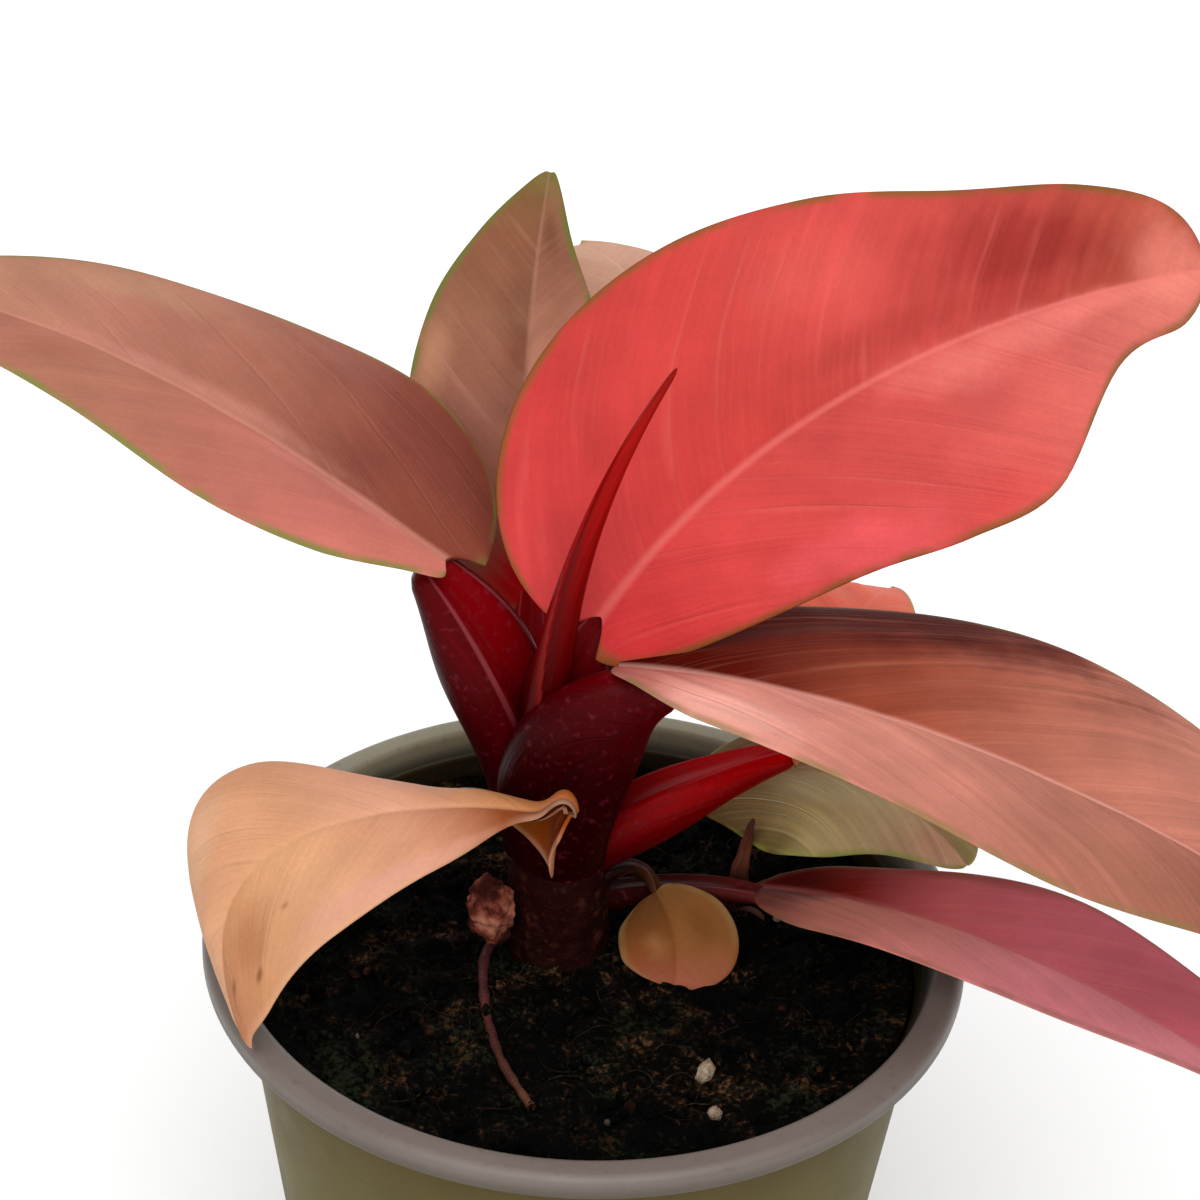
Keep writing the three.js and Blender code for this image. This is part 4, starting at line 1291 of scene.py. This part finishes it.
def stalk_material(name, colours, inner):
    """Fleshy stalk: long streaks, a groove with pale hems, a back darkened as painted shade, and small
    flecks.
    """
    g = Graph(name, 0.36, 0.04)
    t, s, across, along = (g.field(f) for f in ("t", "s", "across", "along"))
    colour = g.ramp(t, colours)
    lines = g.streaks(across, along, 0.8, 14)
    colour = g.shade(colour, lines, 0.45)
    high = g.band(t, 0.35, 0.7)
    colour = g.tint(colour, inner, g.times(g.band(s, 0.24, 0.14), high), 0.6)
    # Painted shade: the back, away from the groove, is darkened.
    colour = g.tint(colour, 0x1c0002, g.band(s, 0.3, 0.6), 0.55)
    hem = g.band(g.math("ABSOLUTE", g.minus(s, 0.22)), 0.028, 0.008)
    colour = g.tint(colour, 0xb85c64, g.times(hem, high), 0.3)
    colour = g.tint(colour, 0x7c2c3c, g.band(g.noise(1.1, 4), 0.55, 0.75), 0.3)
    height = g.plus(lines, g.times(g.noise(0.5, 2), 0.4))
    return g.finish(colour, height, 0.12, g.noise(3, 2), 0.16)


def spike_material():
    """Rolled leaf: crimson with long veins that follow the roll, darker at the foot and by the seam."""
    g = Graph("new_leaf_roll", 0.34, 0.05)
    t, edge, across, along = (g.field(f) for f in ("t", "edge", "across", "along"))
    colour = g.ramp(t, [0x380002, 0x6c0002, 0x900402, 0xa00c08, 0x90120a])
    lines = g.streaks(g.plus(across, g.times(along, 0.1)), along, 0.5, 20)
    colour = g.shade(colour, lines, 0.35)
    colour = g.tint(colour, 0xa8302a, g.band(edge, 0.1, 0), 0.3)
    colour = g.tint(colour, 0x3a0404, g.band(edge, 0.85, 1), 0.6)
    return g.finish(colour, lines, 0.1, g.noise(3, 2), 0.12)


def bark_material():
    """Short stem: dark red brown, in rough patches, with rusty flecks."""
    g = Graph("stem_bark", 0.6, 0.04)
    colour = g.ramp(g.field("t"), [0x120604, 0x200a08, 0x2c0808, 0x320406])
    coarse = g.noise(2.2, 4)
    colour = g.shade(colour, coarse, 0.7)
    colour = g.tint(colour, 0x582c20, g.band(g.noise(1.9, 5), 0.54, 0.7), 0.5)
    return g.finish(colour, g.plus(coarse, g.noise(0.6, 2)), 0.3, coarse, 0.2)


def stub_material():
    """Healed stub: salmon and rust tones, with painted shade in its clefts and painted highlights on its
    lumps.
    """
    g = Graph("stem_stub", 0.6, 0.05)
    patches = g.noise(3, 4)
    # Colour follows the same relief as the bumps: darker in the clefts as painted shade, lighter on the lumps
    # as painted highlights.
    colour = g.ramp(g.band(patches, 0.35, 0.68), [0x3c160e, 0x6c3226, 0x94503e, 0xbc7862])
    colour = g.shade(colour, g.noise(0.9, 3), 0.3)
    return g.finish(colour, g.plus(patches, g.noise(0.5, 2)), 0.3, patches, 0.2)


def root_material():
    """Aerial root: pinkish skin with fine rings and brown patches."""
    g = Graph("aerial_root", 0.5, 0.1)
    colour = g.ramp(g.field("t"), [0x240c08, 0x48201c, 0x582a2c, 0x48241c, 0x5c3828])
    rings = g.band(g.math("PINGPONG", g.field("along"), 0.35), 0.2, 0)
    colour = g.shade(colour, g.noise(2.5, 3), 0.6)
    colour = g.shade(colour, rings, 0.1)
    height = g.plus(g.times(rings, -0.4), g.noise(0.5, 2))
    return g.finish(colour, height, 0.12, g.noise(2, 2))


def dry_material():
    """Papery dry sheath: brown fibres, darker at the foot."""
    g = Graph("dry_paper", 0.75, 0.25)
    lines = g.streaks(g.field("across"), g.field("along"), 0.4, 10)
    colour = g.ramp(g.field("t"), [0x2c160c, 0x4a2414, 0x6a3620, 0x54201a])
    colour = g.shade(colour, lines, 0.6)
    return g.finish(colour, lines, 0.25, g.noise(1.5, 2))


def earth_material(name, colours, moss=0.0):
    """Loose mix: tones in patches of two sizes, damp and dark here and there, with a trace of moss."""
    g = Graph(name, 0.85, 0.05)
    patches = g.plus(g.noise(5, 3), g.noise(0.8, 3))
    colour = g.ramp(g.band(patches, 0.68, 1.4), colours)
    colour = g.shade(colour, g.band(g.noise(17, 2), 0.35, 0.65), 0.7)
    colour = g.tint(colour, 0x2c3420, g.band(g.plus(g.noise(11, 2), g.noise(0.9, 3)), 1.08, 1.3), moss)
    height = g.plus(g.noise(0.7, 4), g.noise(0.3, 2))
    return g.finish(colour, height, 0.35, g.noise(3, 2), 0.3)


def pot_material():
    """Moulded plastic: a grey lip with a painted highlight behind and painted shade low on its side, a
    greener wall with painted shade under the lip, and a near-black inside.
    """
    g = Graph("pot_plastic", 0.45)
    place = g.add("SeparateXYZ", {0: g.place()})
    sideways, back, upward = place.node.outputs
    height = g.math("DIVIDE", upward, MM)
    flat = g.add("CombineXYZ", {0: sideways, 1: back})
    radius = g.math("DIVIDE", g.add("VectorMath", {0: flat}, 1, operation="LENGTH"), MM)
    back = g.math("DIVIDE", back, MM)
    top, under = POT["height"], POT["height"] - POT["lip_drop"]
    # Painted shade: the wall's colours darken at the top under the lip, and the lip's colours darken towards
    # its lower edge.
    wall = g.ramp(g.math("DIVIDE", height, top), [0x504c36, 0x5a5434, 0x645a30, 0x544628])
    lip = g.band(height, under - 0.4, under + 0.3)
    rise = g.add("MapRange", {0: height, 1: under, 2: top})
    colour = g.mix(lip, wall, g.ramp(rise, [0x44382a, 0x54483c, 0x6a5e56, 0x70645c]))
    # A painted highlight: the lip is made paler towards the back.
    colour = g.tint(colour, 0xa49e80, g.times(lip, g.band(back, 10, 45)), 0.85)
    foot, thick = POT["foot_radius"], POT["wall"]
    leaning = g.minus(radius, g.times(height, (POT["wall_top"] - foot) / under))
    wall_inside = g.band(leaning, foot - 0.3 * thick, foot - 0.7 * thick)
    mouth = g.band(radius, POT["mouth_radius"] + 0.5, POT["mouth_radius"] + 0.1)
    low = g.band(height, top - 0.8, under)
    # The inside of the wall and of the mouth are darkened to near-black.
    darkened_inside = g.math("MAXIMUM", wall_inside, g.times(g.times(mouth, low), lip))
    colour = g.tint(colour, 0x14100a, darkened_inside, 0.85)
    colour = g.shade(colour, g.noise(14, 3), 0.16)
    colour = g.shade(colour, g.streaks(radius, height, 0.3, 0.2), 0.05)
    dust = g.times(g.band(g.noise(1.6, 4), 0.55, 0.8), g.band(height, 70, 88))
    colour = g.tint(colour, 0x4a3c30, dust, 0.35)
    lines = g.band(g.math("PINGPONG", height, 0.5), 0.1, 0)
    relief = g.plus(g.times(lines, 0.3), g.noise(0.8, 3))
    gloss = g.add("MapRange", {0: lip, 3: 0.05, 4: 0.5})
    g.tree.links.new(gloss, g.shader.inputs["Specular IOR Level"])
    return g.finish(colour, relief, 0.06, g.noise(6, 3), 0.2)


def floor_material():
    """Matt white studio paper with a faint tooth."""
    g = Graph("studio_paper", 0.9, 0.2)
    colour = g.mix(g.noise(60, 2), (0.93, 0.93, 0.93, 1), (0.9, 0.9, 0.9, 1))
    return g.finish(colour, g.noise(1, 2), 0.02, g.noise(30, 1), 0.05)


# Studio

def make_floor():
    """Studio floor under the pot, which is no part of the plant."""
    corners = np.array([(-1, -1, 0), (1, -1, 0), (1, 1, 0), (-1, 1, 0)]) * FLOOR_REACH
    floor = make_object("studio_floor", [Part(corners, [(np.array([[0, 1, 2, 3]]), 0)])], [floor_material()])


def make_light(name, strength, softness, direction):
    """A wide soft lamp that shines from a direction, as a sun with a broad disc."""
    light = bpy.data.lights.new(name, "SUN")
    light.energy = strength
    light.angle = math.radians(softness)
    made = bpy.data.objects.new(name, light)
    made.rotation_euler = Vector(direction).to_track_quat("Z", "Y").to_euler()
    bpy.context.scene.collection.objects.link(made)


def make_studio():
    """White floor and surroundings, with three soft lamps."""
    make_floor()
    make_light("overhead_softbox", 1.9, 60, (0.05, -0.5, 1))
    make_light("front_fill", 1.35, 90, (-0.3, -1, 0.45))
    make_light("back_fill", 0.9, 80, (0.3, 0.9, 0.6))
    world = bpy.data.worlds.new("studio")
    world.use_nodes = True
    world.node_tree.nodes["Background"].inputs["Color"].default_value = (1, 1, 1, 1)
    world.node_tree.nodes["Background"].inputs["Strength"].default_value = 0.47
    bpy.context.scene.world = world
    bpy.context.scene.view_settings.view_transform = "Standard"


def make_camera():
    """The camera that took the photo, as the rim shows it."""
    pitch, roll = math.radians(CAMERA["pitch"]), math.radians(CAMERA["roll"])
    forward = Vector((0, math.cos(pitch), -math.sin(pitch)))
    level, upright = Vector((1, 0, 0)), Vector((0, math.sin(pitch), math.cos(pitch)))
    right = math.cos(roll) * level + math.sin(roll) * upright
    top = math.cos(roll) * upright - math.sin(roll) * level
    camera = bpy.data.cameras.new("camera")
    camera.sensor_width = 36
    camera.lens = CAMERA["focal"] / CAMERA["frame"] * camera.sensor_width
    camera.clip_start = 0.01
    made = bpy.data.objects.new("camera", camera)
    turn = Matrix((right, top, -forward)).transposed().to_4x4()
    place = (Vector(CAMERA["target"]) - CAMERA["distance"] * forward) * MM
    made.matrix_world = Matrix.Translation(place) @ turn
    bpy.context.scene.collection.objects.link(made)
    bpy.context.scene.camera = made


make_camera()
for leaf_name in LEAVES:
    make_leaf(leaf_name)
make_new_leaf()
make_dry_sheath()
make_stem()
make_soil()
make_pot()
make_studio()
